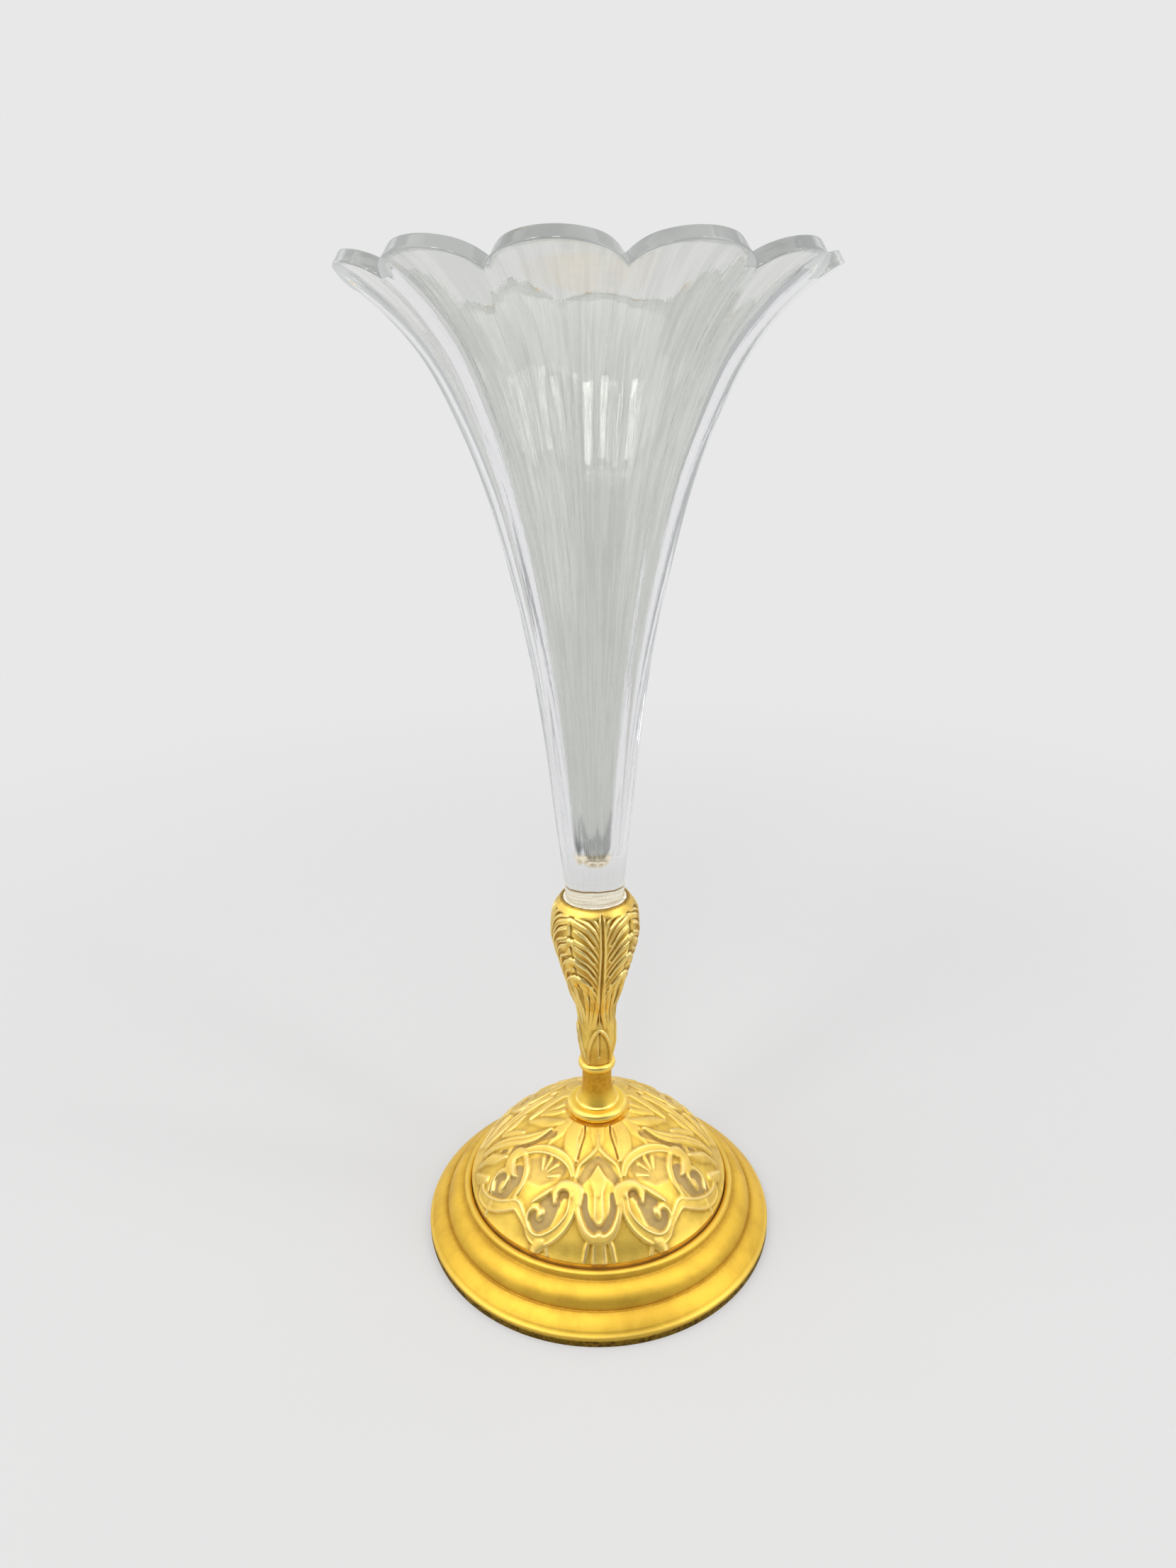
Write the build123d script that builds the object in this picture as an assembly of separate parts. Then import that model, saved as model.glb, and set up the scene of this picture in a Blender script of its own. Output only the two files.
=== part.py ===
from build123d import *
import os
from math import cos, hypot, radians, sin, tan

# A cut crystal trumpet vase, bedded in a gilt cast mount.
# Lengths are in millimetres and angles in degrees. The vase stands on z = 0 about the Z axis.
# Its front looks along -Y, and an azimuth is counted from the front towards +X.

# Clearances and overruns
slip_gap = 0.3        # play round a piece that slips into or over another
bed_gap = 0.15        # play on each side of the plaster bed
overrun = 6.0         # how far a cutting shape runs past what it cuts

# Base moulding, a hollow ring that is open below
ring_r = 64.2
ring_side_h = 3.5
flange_w = 6.3
flange_rise = 5.1
flange_bulge = 0.4
quirk = 0.5
ovolo_w = 6.7
ovolo_rise = 6.6
ovolo_bulge = 1.5
ring_bead_r = 1.4
ring_wall = 3.3
ledge_w = 9.9
ledge_t = 3.0

# Relief dome, a cast shell that sits on the ledge of the moulding.
# Its outline runs from the crown to the foot: shares of the slope's width, and of its height.
dome_h = 32.1
dome_wall = 2.6
crown_r = 10.5
dome_foot_h = 3.7
pad_r = 8.0
pad_t = 4.8
relief_h = 1.2
dome_shares = [(0.0, 1.0), (0.202, 0.894), (0.391, 0.761), (0.580, 0.606),
               (0.741, 0.437), (0.876, 0.229), (0.957, 0.074), (1.0, 0.0)]

# Screws from below, through the ledge into bosses in the dome
screw_count = 3
screw_r = 1.4
screw_len = 8.5
screw_head_r = 2.7
screw_head_t = 2.0
screw_turn = 60.0
boss_r = 3.5
boss_h = 9.0
boss_inset = 5.6

# Tie rod with its washer and nut
rod_r = 2.6
rod_below_nut = 2.8
rod_in_socket = 23.5
washer_r = 7.0
washer_t = 1.2
nut_flats = 10.0
nut_t = 5.0

# Collar, neck and bead between dome and socket
collar_r = 11.1
collar_t = 4.0
neck_h = 14.2
neck_foot_r = 8.1
neck_waist_r = 5.3
neck_shares = [(0.0, 1.0), (0.085, 0.68), (0.30, 0.25), (0.51, 0.04), (0.75, 0.0), (1.0, 0.0)]
bead_r = 6.8
bead_t = 3.5

# Glass toe and its plaster bed
toe_r = 10.1
toe_foot_r = 9.6
bed_t = 0.9
bed_floor_t = 2.0
bore_depth = 24.2

# Leaf socket. Two outlines run from its foot to its lip as shares of its height and its radius:
# the ground between the leaves, and the crests of the leaves and buds.
socket_h = 65.7
socket_wall = 4.6
lip_t = 0.65
ground_shares = [(0.0, 0.36), (0.055, 0.37), (0.14, 0.41), (0.19, 0.40), (0.28, 0.39), (0.345, 0.42),
                 (0.44, 0.56), (0.54, 0.68), (0.65, 0.79), (0.78, 0.90), (0.91, 0.88), (0.965, 0.82)]
crest_shares = [(0.0, 0.405), (0.046, 0.425), (0.137, 0.484), (0.19, 0.468), (0.28, 0.462), (0.345, 0.487),
                (0.385, 0.551), (0.44, 0.628), (0.54, 0.744), (0.65, 0.853), (0.78, 1.0), (0.84, 0.997),
                (0.91, 0.974), (0.965, 0.88)]
leaf_count = 4
leaf_turn = 8.0
leaf_foot_share = 0.25
leaf_top_share = 0.965
lobe_count = 6
stem_half_share = 0.17
leaf_half_share = 0.67
leaf_shoulder_share = 0.75
bud_half_share = 0.34
bud_base_share = 0.67
bud_foot_share = 0.01
bud_tip_share = 0.235

# Crystal trumpet: flat panels outside, round inside, with one scallop above each panel.
# Its outline runs from the panels' foot to the tips: shares of the rise, and of the flare.
glass_h = 215.3
panel_count = 12
panel_foot_h = 28.0
panel_foot_r = 10.4
mouth_r = 70.8
glass_turn = 8.0
cavity_floor_h = 36.0
wall_foot = 6.4
wall_rim = 4.4
scallop_depth = 9.4
flare_shares = [(0.0, 0.0), (0.115, 0.035), (0.267, 0.081), (0.418, 0.146), (0.570, 0.238), (0.691, 0.334),
                (0.792, 0.450), (0.873, 0.573), (0.933, 0.720), (0.977, 0.877), (1.0, 1.0)]

# The round blank of the toe, where it runs out into the panels
toe_swell = 0.5
toe_flare = 3.5
toe_flare_h = 10.5

# Strapwork on the dome, one half of the round, mirrored about its middle.
# Each strap is its half width as a share of the dome's radius, and its path as azimuths and shares of it.
relief_count = 2
straps = {
    "shield": (0.024, [(0, 0.891), (6.8, 0.865), (10.1, 0.794), (11.4, 0.720)]),
    "hook": (0.026, [(11.8, 0.700), (18.1, 0.656), (24.1, 0.679), (24.7, 0.754)]),
    "tongue": (0.036, [(0, 0.830), (0, 0.525)]),
    "volute": (0.022, [(12.9, 0.810), (17.4, 0.876), (23.5, 0.932), (30.3, 0.949), (35.9, 0.907), (34.9, 0.830)]),
    "arch": (0.030, [(19.4, 0.563), (28.3, 0.506), (40.8, 0.492), (53.5, 0.526), (61.3, 0.613), (60.7, 0.713)]),
    "scroll": (0.022, [(39.9, 0.838), (46.8, 0.865), (55.0, 0.923), (62.6, 0.932), (68.5, 0.872), (68.8, 0.779)]),
    "sepal": (0.060, [(27.3, 0.290), (28.3, 0.372), (23.0, 0.450)]),
    "side_leaf": (0.034, [(70.9, 0.300), (66.4, 0.504), (75.0, 0.696), (85.0, 0.850)]),
    "flank": (0.034, [(90, 0.300), (90, 0.860)]),
}
strap_eyes = {"volute_eye": (0.030, (29.9, 0.849)), "scroll_eye": (0.034, (58.5, 0.820))}

# Worked-out radii and heights, from the floor up
flange_r = ring_r - flange_w
flange_z = ring_side_h + flange_rise
ovolo_r = flange_r - quirk - ovolo_w
ledge_z = flange_z - quirk + ovolo_rise
seat_r = ovolo_r - 2 * ring_bead_r
ledge_r = seat_r - ledge_w
dome_r = seat_r - slip_gap
crown_z = ledge_z + dome_h
pad_z = crown_z - pad_t
washer_z = pad_z - washer_t
nut_z = washer_z - nut_t
neck_z = crown_z + collar_t
bead_z = neck_z + neck_h
socket_z = bead_z + bead_t
socket_top = socket_z + socket_h
rod_hole_r = rod_r + slip_gap
bore_r = toe_r + bed_t
lip_r = bore_r + lip_t
socket_r = bore_r + socket_wall
bore_z = socket_top - bore_depth
toe_z = bore_z + bed_floor_t
boss_pitch_r = dome_r - boss_inset


# Small helpers for outlines

def turned(face):
    """A solid of revolution about the vase's axis."""
    return revolve(Plane.XZ * face, Axis.Z)


def tube(r_out, r_in, z_low, z_high):
    corners = [(r_in, z_low), (r_out, z_low), (r_out, z_high), (r_in, z_high)]
    return turned(make_face(Polyline(*corners, close=True)))


def rod(r, z_low, z_high):
    return turned(make_face(Polyline((0, z_low), (r, z_low), (r, z_high), (0, z_high), close=True)))


def inset(points, depths):
    """The points of an outline moved square to it, to its left, each by its own depth."""
    moved = []
    last = len(points) - 1
    for i, (r, z) in enumerate(points):
        (r0, z0), (r1, z1) = points[max(i - 1, 0)], points[min(i + 1, last)]
        run = hypot(r1 - r0, z1 - z0)
        moved.append((r - depths[i] * (z1 - z0) / run, z + depths[i] * (r1 - r0) / run))
    return moved


def polar(azimuth, r):
    """A place in plan, from its azimuth and its distance from the axis."""
    return (r * sin(radians(azimuth)), -r * cos(radians(azimuth)))


# Pieces of the mount

def make_base_moulding():
    bead_centre_z = ledge_z + ring_bead_r
    inner_low_r = ring_r - ring_wall
    inner_high_r = flange_r - ring_wall
    outline = [
        Polyline((ring_r, 0), (ring_r, ring_side_h)),
        SagittaArc((ring_r, ring_side_h), (flange_r, flange_z), -flange_bulge),
        Polyline((flange_r, flange_z), (flange_r - quirk, flange_z - quirk)),
        SagittaArc((flange_r - quirk, flange_z - quirk), (ovolo_r, ledge_z), -ovolo_bulge),
        Polyline((ovolo_r, ledge_z), (ovolo_r, bead_centre_z)),
        ThreePointArc((ovolo_r, bead_centre_z), (ovolo_r - ring_bead_r, bead_centre_z + ring_bead_r),
                      (seat_r, bead_centre_z)),
        Polyline((seat_r, bead_centre_z), (seat_r, ledge_z), (ledge_r, ledge_z), (ledge_r, ledge_z - ledge_t),
                 (seat_r, ledge_z - ledge_t), (inner_high_r, flange_z - ring_wall / 2),
                 (inner_low_r, ring_side_h - ring_wall / 2), (inner_low_r, 0), (ring_r, 0)),
    ]
    ring = turned(make_face(Curve() + outline))
    holes = [Pos(*place, 0) * rod(screw_r + slip_gap, 0, ledge_z + overrun) for place in screw_places()]
    return ring - holes


def screw_places():
    step = 360 / screw_count
    return [polar(screw_turn + i * step, boss_pitch_r) for i in range(screw_count)]


def dome_outline(rise=0.0):
    """The dome's outline from crown to foot, raised square to its slope."""
    foot_z = ledge_z + dome_foot_h
    slope_w = dome_r - crown_r
    slope_h = crown_z - foot_z
    points = [(crown_r + slope_w * out, foot_z + slope_h * up) for out, up in dome_shares]
    return inset(points, [rise] * len(points)) if rise else points


def dome_solid(rise):
    """The solid under the dome's outline when that is raised, down to the ledge."""
    points = dome_outline(rise)
    top_r, top_z = points[0]
    foot_r, foot_z = points[-1]
    outline = [Polyline((0, top_z), points[0]), Spline(*points),
               Polyline(points[-1], (foot_r, ledge_z), (0, ledge_z), (0, top_z))]
    return turned(make_face(Curve() + outline))


def strap_path(path):
    return [polar(azimuth, share * dome_r) for azimuth, share in path]


def make_strapwork():
    """The raised straps of the whole round, lying in the skin between ground and crest."""
    faces = []
    for half_share, path in straps.values():
        points = strap_path(path)
        line = Spline(*points) if len(points) > 2 else Line(*points)
        faces.append(trace(line, 2 * half_share * dome_r))
    for r_share, (azimuth, share) in strap_eyes.values():
        faces.append(Pos(*polar(azimuth, share * dome_r)) * Circle(r_share * dome_r))
    half = faces[0] + faces[1:]
    unit = half + mirror(half, Plane.YZ)
    prism = extrude(Pos(0, 0, ledge_z) * unit, dome_h + overrun)
    band = dome_solid(relief_h) - dome_solid(-dome_wall / 2)
    band &= rod(dome_r, ledge_z + dome_foot_h, crown_z + overrun) - rod(collar_r, ledge_z, crown_z + overrun)
    raised = prism & band
    return [Rot(0, 0, i * 360 / relief_count) * raised for i in range(relief_count)]


def make_relief_dome():
    hollow = dome_solid(-dome_wall) & rod(dome_r - dome_wall, ledge_z - overrun, crown_z)
    shell = dome_solid(0) - hollow
    pad = rod(pad_r, pad_z, crown_z) & dome_solid(0)
    bosses = [Pos(*place, 0) * rod(boss_r, ledge_z, ledge_z + boss_h) & dome_solid(-dome_wall / 2)
              for place in screw_places()]
    hole_top_z = ledge_z - ledge_t + screw_len + slip_gap
    holes = [Pos(*place, 0) * rod(screw_r + slip_gap, ledge_z - overrun, hole_top_z) for place in screw_places()]
    dome = shell + pad + bosses + make_strapwork()
    return dome - holes - rod(rod_hole_r, ledge_z, crown_z + overrun)


def make_foot_collar():
    rounding = collar_t / 2
    face = Polyline((rod_hole_r, crown_z), (collar_r - rounding, crown_z))
    arc = ThreePointArc((collar_r - rounding, crown_z), (collar_r, crown_z + rounding),
                        (collar_r - rounding, neck_z))
    back = Polyline((collar_r - rounding, neck_z), (rod_hole_r, neck_z), (rod_hole_r, crown_z))
    return turned(make_face(Curve() + [face, arc, back]))


def make_neck_spool():
    flare_w = neck_foot_r - neck_waist_r
    flare = [(neck_waist_r + flare_w * out, neck_z + neck_h * up) for up, out in neck_shares]
    outline = [Polyline((rod_hole_r, neck_z), flare[0]), Spline(*flare),
               Polyline(flare[-1], (rod_hole_r, bead_z), (rod_hole_r, neck_z))]
    return turned(make_face(Curve() + outline))


def make_bead_ring():
    rounding = bead_t / 2
    face = Polyline((rod_hole_r, bead_z), (bead_r - rounding, bead_z))
    arc = ThreePointArc((bead_r - rounding, bead_z), (bead_r, bead_z + rounding),
                        (bead_r - rounding, socket_z))
    back = Polyline((bead_r - rounding, socket_z), (rod_hole_r, socket_z), (rod_hole_r, bead_z))
    return turned(make_face(Curve() + [face, arc, back]))


# Leaf socket

def socket_solid(shares):
    """The solid inside one of the socket's outlines, closed by the lip."""
    points = [(socket_r * out, socket_z + socket_h * up) for up, out in shares]
    outline = [Spline(*points),
               Polyline(points[-1], (lip_r, socket_top), (0, socket_top), (0, socket_z), points[0])]
    return turned(make_face(Curve() + outline))


def leaf_face():
    """One acanthus leaf seen from in front: a stem, then lobes that widen up each margin."""
    foot_z = socket_z + leaf_foot_share * socket_h
    top_z = socket_z + leaf_top_share * socket_h
    shoulder_z = foot_z + (top_z - foot_z) / 2
    stem_w = stem_half_share * socket_r
    leaf_w = leaf_half_share * socket_r
    lobe_h = (top_z - shoulder_z) / lobe_count
    low = (leaf_w * leaf_shoulder_share, shoulder_z)
    margin = [Spline((stem_w, foot_z), (stem_w, (foot_z + shoulder_z) / 2), low)]
    for i in range(lobe_count):
        high = (leaf_w, shoulder_z + (i + 1) * lobe_h)
        margin.append(SagittaArc(low, high, -lobe_h / 3))
        low = high
    crown = Polyline(low, (0, top_z), (0, foot_z), (stem_w, foot_z))
    half = make_face(Curve() + margin + [crown])
    return half + mirror(half, Plane.YZ)


def bud_face():
    """One bud of the socket's foot: a pointed arch."""
    foot_z = socket_z + bud_foot_share * socket_h
    tip_z = socket_z + bud_tip_share * socket_h
    half_w = bud_half_share * socket_r
    base_w = bud_base_share * half_w
    side = Spline((base_w, foot_z), (half_w, (3 * foot_z + tip_z) / 4), (0, tip_z))
    half = make_face(Curve() + [side, Polyline((0, tip_z), (0, foot_z), (base_w, foot_z))])
    return half + mirror(half, Plane.YZ)


def make_leaf_socket():
    core_r = socket_r / 4
    core = socket_solid(ground_shares)
    skin = socket_solid(crest_shares) - rod(core_r, socket_z - overrun, bore_z)
    for face in (leaf_face(), bud_face()):
        prism = extrude(Plane.XZ * face, socket_r + overrun)
        for i in range(leaf_count):
            core += Rot(0, 0, leaf_turn + i * 360 / leaf_count) * prism & skin
    rod_hole = rod(rod_hole_r, socket_z - overrun, socket_z + rod_in_socket + slip_gap)
    bore = rod(bore_r, bore_z, socket_top + overrun)
    return core - rod_hole - bore


def make_glass_bedding():
    outer_r = bore_r - bed_gap
    top_z = socket_top
    cup = rod(outer_r, bore_z, top_z)
    slope = (toe_r - toe_foot_r) / (socket_top - toe_z)
    over_r = toe_r + slope * overrun
    high_z = top_z + overrun
    corners = [(0, toe_z), (toe_foot_r + bed_gap, toe_z), (over_r + bed_gap, high_z), (0, high_z)]
    return cup - turned(make_face(Polyline(*corners, close=True)))


# Crystal trumpet

panel_foot_z = toe_z + panel_foot_h
tip_z = toe_z + glass_h


def panel_outline():
    """Half widths across the flats, from the panels' foot to the tips of the scallops."""
    rise = tip_z - panel_foot_z
    spread = mouth_r - panel_foot_r
    return [(panel_foot_r + spread * out, panel_foot_z + rise * up) for up, out in flare_shares]


def rim_slope():
    """The unit direction in which the wall leaves at the tips."""
    (r0, z0), (r1, z1) = panel_outline()[-2:]
    run = hypot(r1 - r0, z1 - z0)
    return (r1 - r0) / run, (z1 - z0) / run


def panelled_body():
    """What lies inside all the panels: one trumpet outline, drawn sideways at each panel's azimuth."""
    points = panel_outline()
    out, up = rim_slope()
    beyond = (points[-1][0] + overrun * out, points[-1][1] + overrun * up)
    side = points + [beyond]
    low_z = toe_z - overrun
    outer = [(panel_foot_r + toe_flare, low_z)] + side
    left = [(-r, z) for r, z in outer]
    outline = [Spline(*outer), Polyline(outer[-1], left[-1]), Spline(*left), Polyline(left[0], outer[0])]
    face = make_face(Curve() + outline)
    reach = 2 * mouth_r
    slab = extrude(Plane.XZ * face, reach, both=True)
    body = slab
    for i in range(1, panel_count // 2):
        body &= Rot(0, 0, i * 360 / panel_count) * slab
    return body


def toe_round():
    """The round blank that the panels are cut from, of which only the toe is left."""
    wide_r = 2 * mouth_r
    top_z = tip_z + 2 * overrun
    runout = (panel_foot_r + toe_flare, panel_foot_z + toe_flare_h)
    outline = [Polyline((0, toe_z), (toe_foot_r, toe_z), (toe_r, socket_top)),
               Spline((toe_r, socket_top), (panel_foot_r + toe_swell, panel_foot_z + toe_swell), runout),
               Polyline(runout, (wide_r, runout[1]), (wide_r, top_z), (0, top_z), (0, toe_z))]
    return turned(make_face(Curve() + outline))


def cavity():
    points = panel_outline()
    last = len(points) - 1
    walls = [wall_foot + (wall_rim - wall_foot) * i / last for i in range(len(points))]
    out, up = rim_slope()
    inner = inset(points, walls)
    beyond = (inner[-1][0] + 2 * overrun * out, inner[-1][1] + 2 * overrun * up)
    floor = (0, toe_z + cavity_floor_h)
    side = [floor] + [p for p in inner if p[1] > floor[1] + wall_foot] + [beyond]
    outline = [Spline(*side, tangents=[(1, 0), (out, up)]), Polyline(beyond, (0, beyond[1]), floor)]
    return turned(make_face(Curve() + outline))


def scallop_cutter():
    """What is ground away above one panel, square to the wall and up to the ridges beside it."""
    out, up = rim_slope()
    half_angle = 180 / panel_count
    notch_r = mouth_r - scallop_depth * out
    half_chord = notch_r * tan(radians(half_angle))
    wall_plane = Plane(origin=(0, -mouth_r, tip_z), x_dir=(1, 0, 0), z_dir=(0, -up, -out))
    widening = (half_chord + overrun) / half_chord
    side_w = half_chord * widening
    side_d = -scallop_depth * widening ** 2
    arc = ThreePointArc((-side_w, side_d), (0, 0), (side_w, side_d))
    top = 2 * overrun
    lid = Polyline((side_w, side_d), (side_w, top), (-side_w, top), (-side_w, side_d))
    face = make_face(Curve() + [arc, lid])
    block = extrude(wall_plane * face, wall_rim + overrun, both=True)
    reach = mouth_r + 3 * overrun
    reach_w = reach * tan(radians(half_angle))
    wedge_face = make_face(Polyline((0, 0), (reach_w, -reach), (-reach_w, -reach), close=True))
    wedge = extrude(Pos(0, 0, tip_z - reach / 2) * wedge_face, reach)
    return block & wedge


def make_glass_trumpet():
    body = panelled_body() & toe_round()
    body -= cavity()
    cutter = scallop_cutter()
    turn = 360 / panel_count
    body -= [Rot(0, 0, i * turn) * cutter for i in range(panel_count)]
    return Rot(0, 0, glass_turn + turn / 2) * body


# Fasteners

def make_tie_rod():
    return rod(rod_r, nut_z - rod_below_nut, socket_z + rod_in_socket)


def make_rod_washer():
    return tube(washer_r, rod_hole_r, washer_z, pad_z)


def make_rod_nut():
    nut = extrude(Pos(0, 0, nut_z) * RegularPolygon(nut_flats / 2, 6, major_radius=False), nut_t)
    return nut - rod(rod_hole_r, nut_z - overrun, washer_z + overrun)


def make_base_screws():
    low_z = ledge_z - ledge_t
    screw = rod(screw_head_r, low_z - screw_head_t, low_z) + rod(screw_r, low_z, low_z + screw_len)
    return Compound([Pos(*place, 0) * screw for place in screw_places()])


pieces = {
    "base_moulding": make_base_moulding,
    "relief_dome": make_relief_dome,
    "foot_collar": make_foot_collar,
    "neck_spool": make_neck_spool,
    "bead_ring": make_bead_ring,
    "leaf_socket": make_leaf_socket,
    "glass_bedding": make_glass_bedding,
    "glass_trumpet": make_glass_trumpet,
    "tie_rod": make_tie_rod,
    "rod_washer": make_rod_washer,
    "rod_nut": make_rod_nut,
    "base_screws": make_base_screws,
}

os.makedirs("parts", exist_ok=True)
for name, make in pieces.items():
    piece = make()
    print(name, len(piece.solids()), round(piece.volume, 1), flush=True)
    export_step(piece, f"parts/{name}.step")
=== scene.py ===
import math
import bpy
import numpy as np
from mathutils import Matrix, Vector


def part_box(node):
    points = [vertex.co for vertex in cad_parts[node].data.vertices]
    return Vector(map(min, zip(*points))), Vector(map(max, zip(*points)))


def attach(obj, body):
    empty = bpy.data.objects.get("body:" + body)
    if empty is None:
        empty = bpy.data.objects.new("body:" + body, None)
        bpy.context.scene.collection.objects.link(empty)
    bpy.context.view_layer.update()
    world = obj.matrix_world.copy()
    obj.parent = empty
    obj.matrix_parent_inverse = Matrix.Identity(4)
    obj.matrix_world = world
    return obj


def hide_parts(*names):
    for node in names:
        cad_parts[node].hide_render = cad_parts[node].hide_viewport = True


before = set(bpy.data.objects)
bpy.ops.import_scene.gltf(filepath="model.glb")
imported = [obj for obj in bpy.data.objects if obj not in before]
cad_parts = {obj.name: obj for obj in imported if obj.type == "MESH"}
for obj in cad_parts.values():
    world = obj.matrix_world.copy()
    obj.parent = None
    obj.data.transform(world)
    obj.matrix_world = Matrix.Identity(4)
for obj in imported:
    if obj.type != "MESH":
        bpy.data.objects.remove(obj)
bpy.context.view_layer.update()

mm = 0.001                # every size below is in millimetres until it becomes a mesh

# Where the pieces stand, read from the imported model
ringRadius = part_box("base_moulding")[1].x / mm
collarLow, collarHigh = (corner.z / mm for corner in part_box("foot_collar"))
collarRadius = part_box("foot_collar")[1].x / mm
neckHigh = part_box("neck_spool")[1].z / mm
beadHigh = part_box("bead_ring")[1].z / mm
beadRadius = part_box("bead_ring")[1].x / mm
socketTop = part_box("leaf_socket")[1].z / mm


# mesh helpers

def smoothStep(low, high, value):
    t = np.clip((value - low) / (high - low), 0, 1)
    return t * t * (3 - 2 * t)


def curveThrough(points, count):
    # Catmull-Rom line through given points, evenly parted in its own parameter
    p = np.array(points, float)
    p = np.vstack([2 * p[0] - p[1], p, 2 * p[-1] - p[-2]])
    t = np.linspace(0, len(p) - 3 - 1e-9, count)
    i = t.astype(int)
    f = (t - i)[:, None]
    a, b, c, d = p[i], p[i + 1], p[i + 2], p[i + 3]
    bend = 2 * a - 5 * b + 4 * c - d
    return 0.5 * (2 * b + (c - a) * f + bend * f ** 2 + (3 * b - a - 3 * c + d) * f ** 3)


def arc(centre, radius, startDeg, endDeg, count):
    t = np.radians(np.linspace(startDeg, endDeg, count))
    return [(centre[0] + radius * math.cos(a), centre[1] + radius * math.sin(a)) for a in t]


def putInScene(name, data):
    obj = bpy.data.objects.new(name, data)
    bpy.context.scene.collection.objects.link(obj)
    return obj


def makeMesh(name, verts, faces, attributes=None):
    mesh = bpy.data.meshes.new(name)
    mesh.vertices.add(len(verts))
    mesh.vertices.foreach_set("co", (np.asarray(verts, float) * mm).ravel())
    corners = np.concatenate([np.asarray(f, int).ravel() for f in faces])
    sizes = np.concatenate([np.full(len(f), np.asarray(f).shape[1]) for f in faces])
    mesh.loops.add(len(corners))
    mesh.loops.foreach_set("vertex_index", corners)
    mesh.polygons.add(len(sizes))
    mesh.polygons.foreach_set("loop_start", np.concatenate([[0], np.cumsum(sizes)[:-1]]))
    mesh.polygons.foreach_set("use_smooth", np.ones(len(sizes), bool))
    for key, values in (attributes or {}).items():
        layer = mesh.attributes.new(key, "FLOAT", "POINT")
        layer.data.foreach_set("value", np.asarray(values, float).ravel())
    mesh.update(calc_edges=True)
    mesh.validate()
    return putInScene(name, mesh)


def azimuths(count):
    return np.linspace(0, 2 * np.pi, count, endpoint=False)


def aroundAxis(radial, level, turn):
    return np.stack([radial * np.sin(turn), -radial * np.cos(turn), level], -1)


def spread(section, columns):
    # the radii and the heights of a section, each repeated for every azimuth
    return np.repeat(section[:, :1], columns, 1), np.repeat(section[:, 1:], columns, 1)


def skinOfRevolution(name, points, attributes=None, closed=False):
    # points has rows from one end of the section to the other, and one column for each azimuth.
    # A first or last row on the axis is drawn together to one vertex.
    rows, cols = points.shape[:2]
    verts, index = [], np.zeros((rows, cols), int)
    kept, total = [], 0
    for r in range(rows):
        atEnd = not closed and r in (0, rows - 1)
        if atEnd and np.hypot(points[r, :, 0], points[r, :, 1]).max() < 1e-6:
            verts.append(points[r, :1])
            index[r] = total
            kept.append(np.array([r * cols]))
            total += 1
        else:
            verts.append(points[r])
            index[r] = total + np.arange(cols)
            kept.append(r * cols + np.arange(cols))
            total += cols
    quads, tris = [], []
    for r in range(rows if closed else rows - 1):
        a, b = index[r], index[(r + 1) % rows]
        a2, b2 = np.roll(a, -1), np.roll(b, -1)
        if a[0] == a[1]:
            tris.append(np.stack([a, b2, b], 1))
        elif b[0] == b[1]:
            tris.append(np.stack([a, a2, b], 1))
        else:
            quads.append(np.stack([a, a2, b2, b], 1))
    faces = [np.concatenate(quads)] + ([np.concatenate(tris)] if tris else [])
    kept = np.concatenate(kept)
    flat = {key: np.asarray(v, float).reshape(rows * cols)[kept] for key, v in (attributes or {}).items()}
    return makeMesh(name, np.concatenate(verts), faces, flat)


def turnedPiece(name, section, columns, attributes):
    # a closed section of (radius, height) points, turned about the vase's axis; it runs anticlockwise
    turn = azimuths(columns)
    grid = aroundAxis(*spread(np.array(section, float), columns), turn)
    values = {key: np.repeat(v[:, None], columns, 1) for key, v in attributes.items()}
    return skinOfRevolution(name, grid, values, closed=True)


def finer(section, step):
    # divides the long straight runs of a section, so that finish and shading have points to work on
    out = []
    for (r0, z0), (r1, z1) in zip(section, section[1:] + section[:1]):
        n = max(1, int(math.hypot(r1 - r0, z1 - z0) / step))
        out += [(r0 + (r1 - r0) * i / n, z0 + (z1 - z0) * i / n) for i in range(n)]
    return out


def fit(piece, material, slot, *nodes):
    piece.data.materials.clear()
    piece.data.materials.append(material)
    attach(piece, "root")
    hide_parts(*nodes)
    print("made", piece.name, len(piece.data.polygons), "faces")
    return piece


# relief engine: strokes drawn on a flat plan, turned into heights

def nearLine(x, y, path):
    # for each point of the plan, the distance to a drawn line and how far along the line that is
    best = np.full(x.shape, 1e9)
    along = np.zeros(x.shape)
    seg = np.diff(path, axis=0)
    lengths = np.hypot(seg[:, 0], seg[:, 1])
    starts = np.concatenate([[0], np.cumsum(lengths)[:-1]])
    for (px, py), (sx, sy), length, start in zip(path[:-1], seg, lengths, starts):
        t = np.clip(((x - px) * sx + (y - py) * sy) / (length * length + 1e-12), 0, 1)
        d = np.hypot(x - px - t * sx, y - py - t * sy)
        closer = d < best
        best = np.where(closer, d, best)
        along = np.where(closer, start + t * length, along)
    return best, along / max(lengths.sum(), 1e-9)


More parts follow.
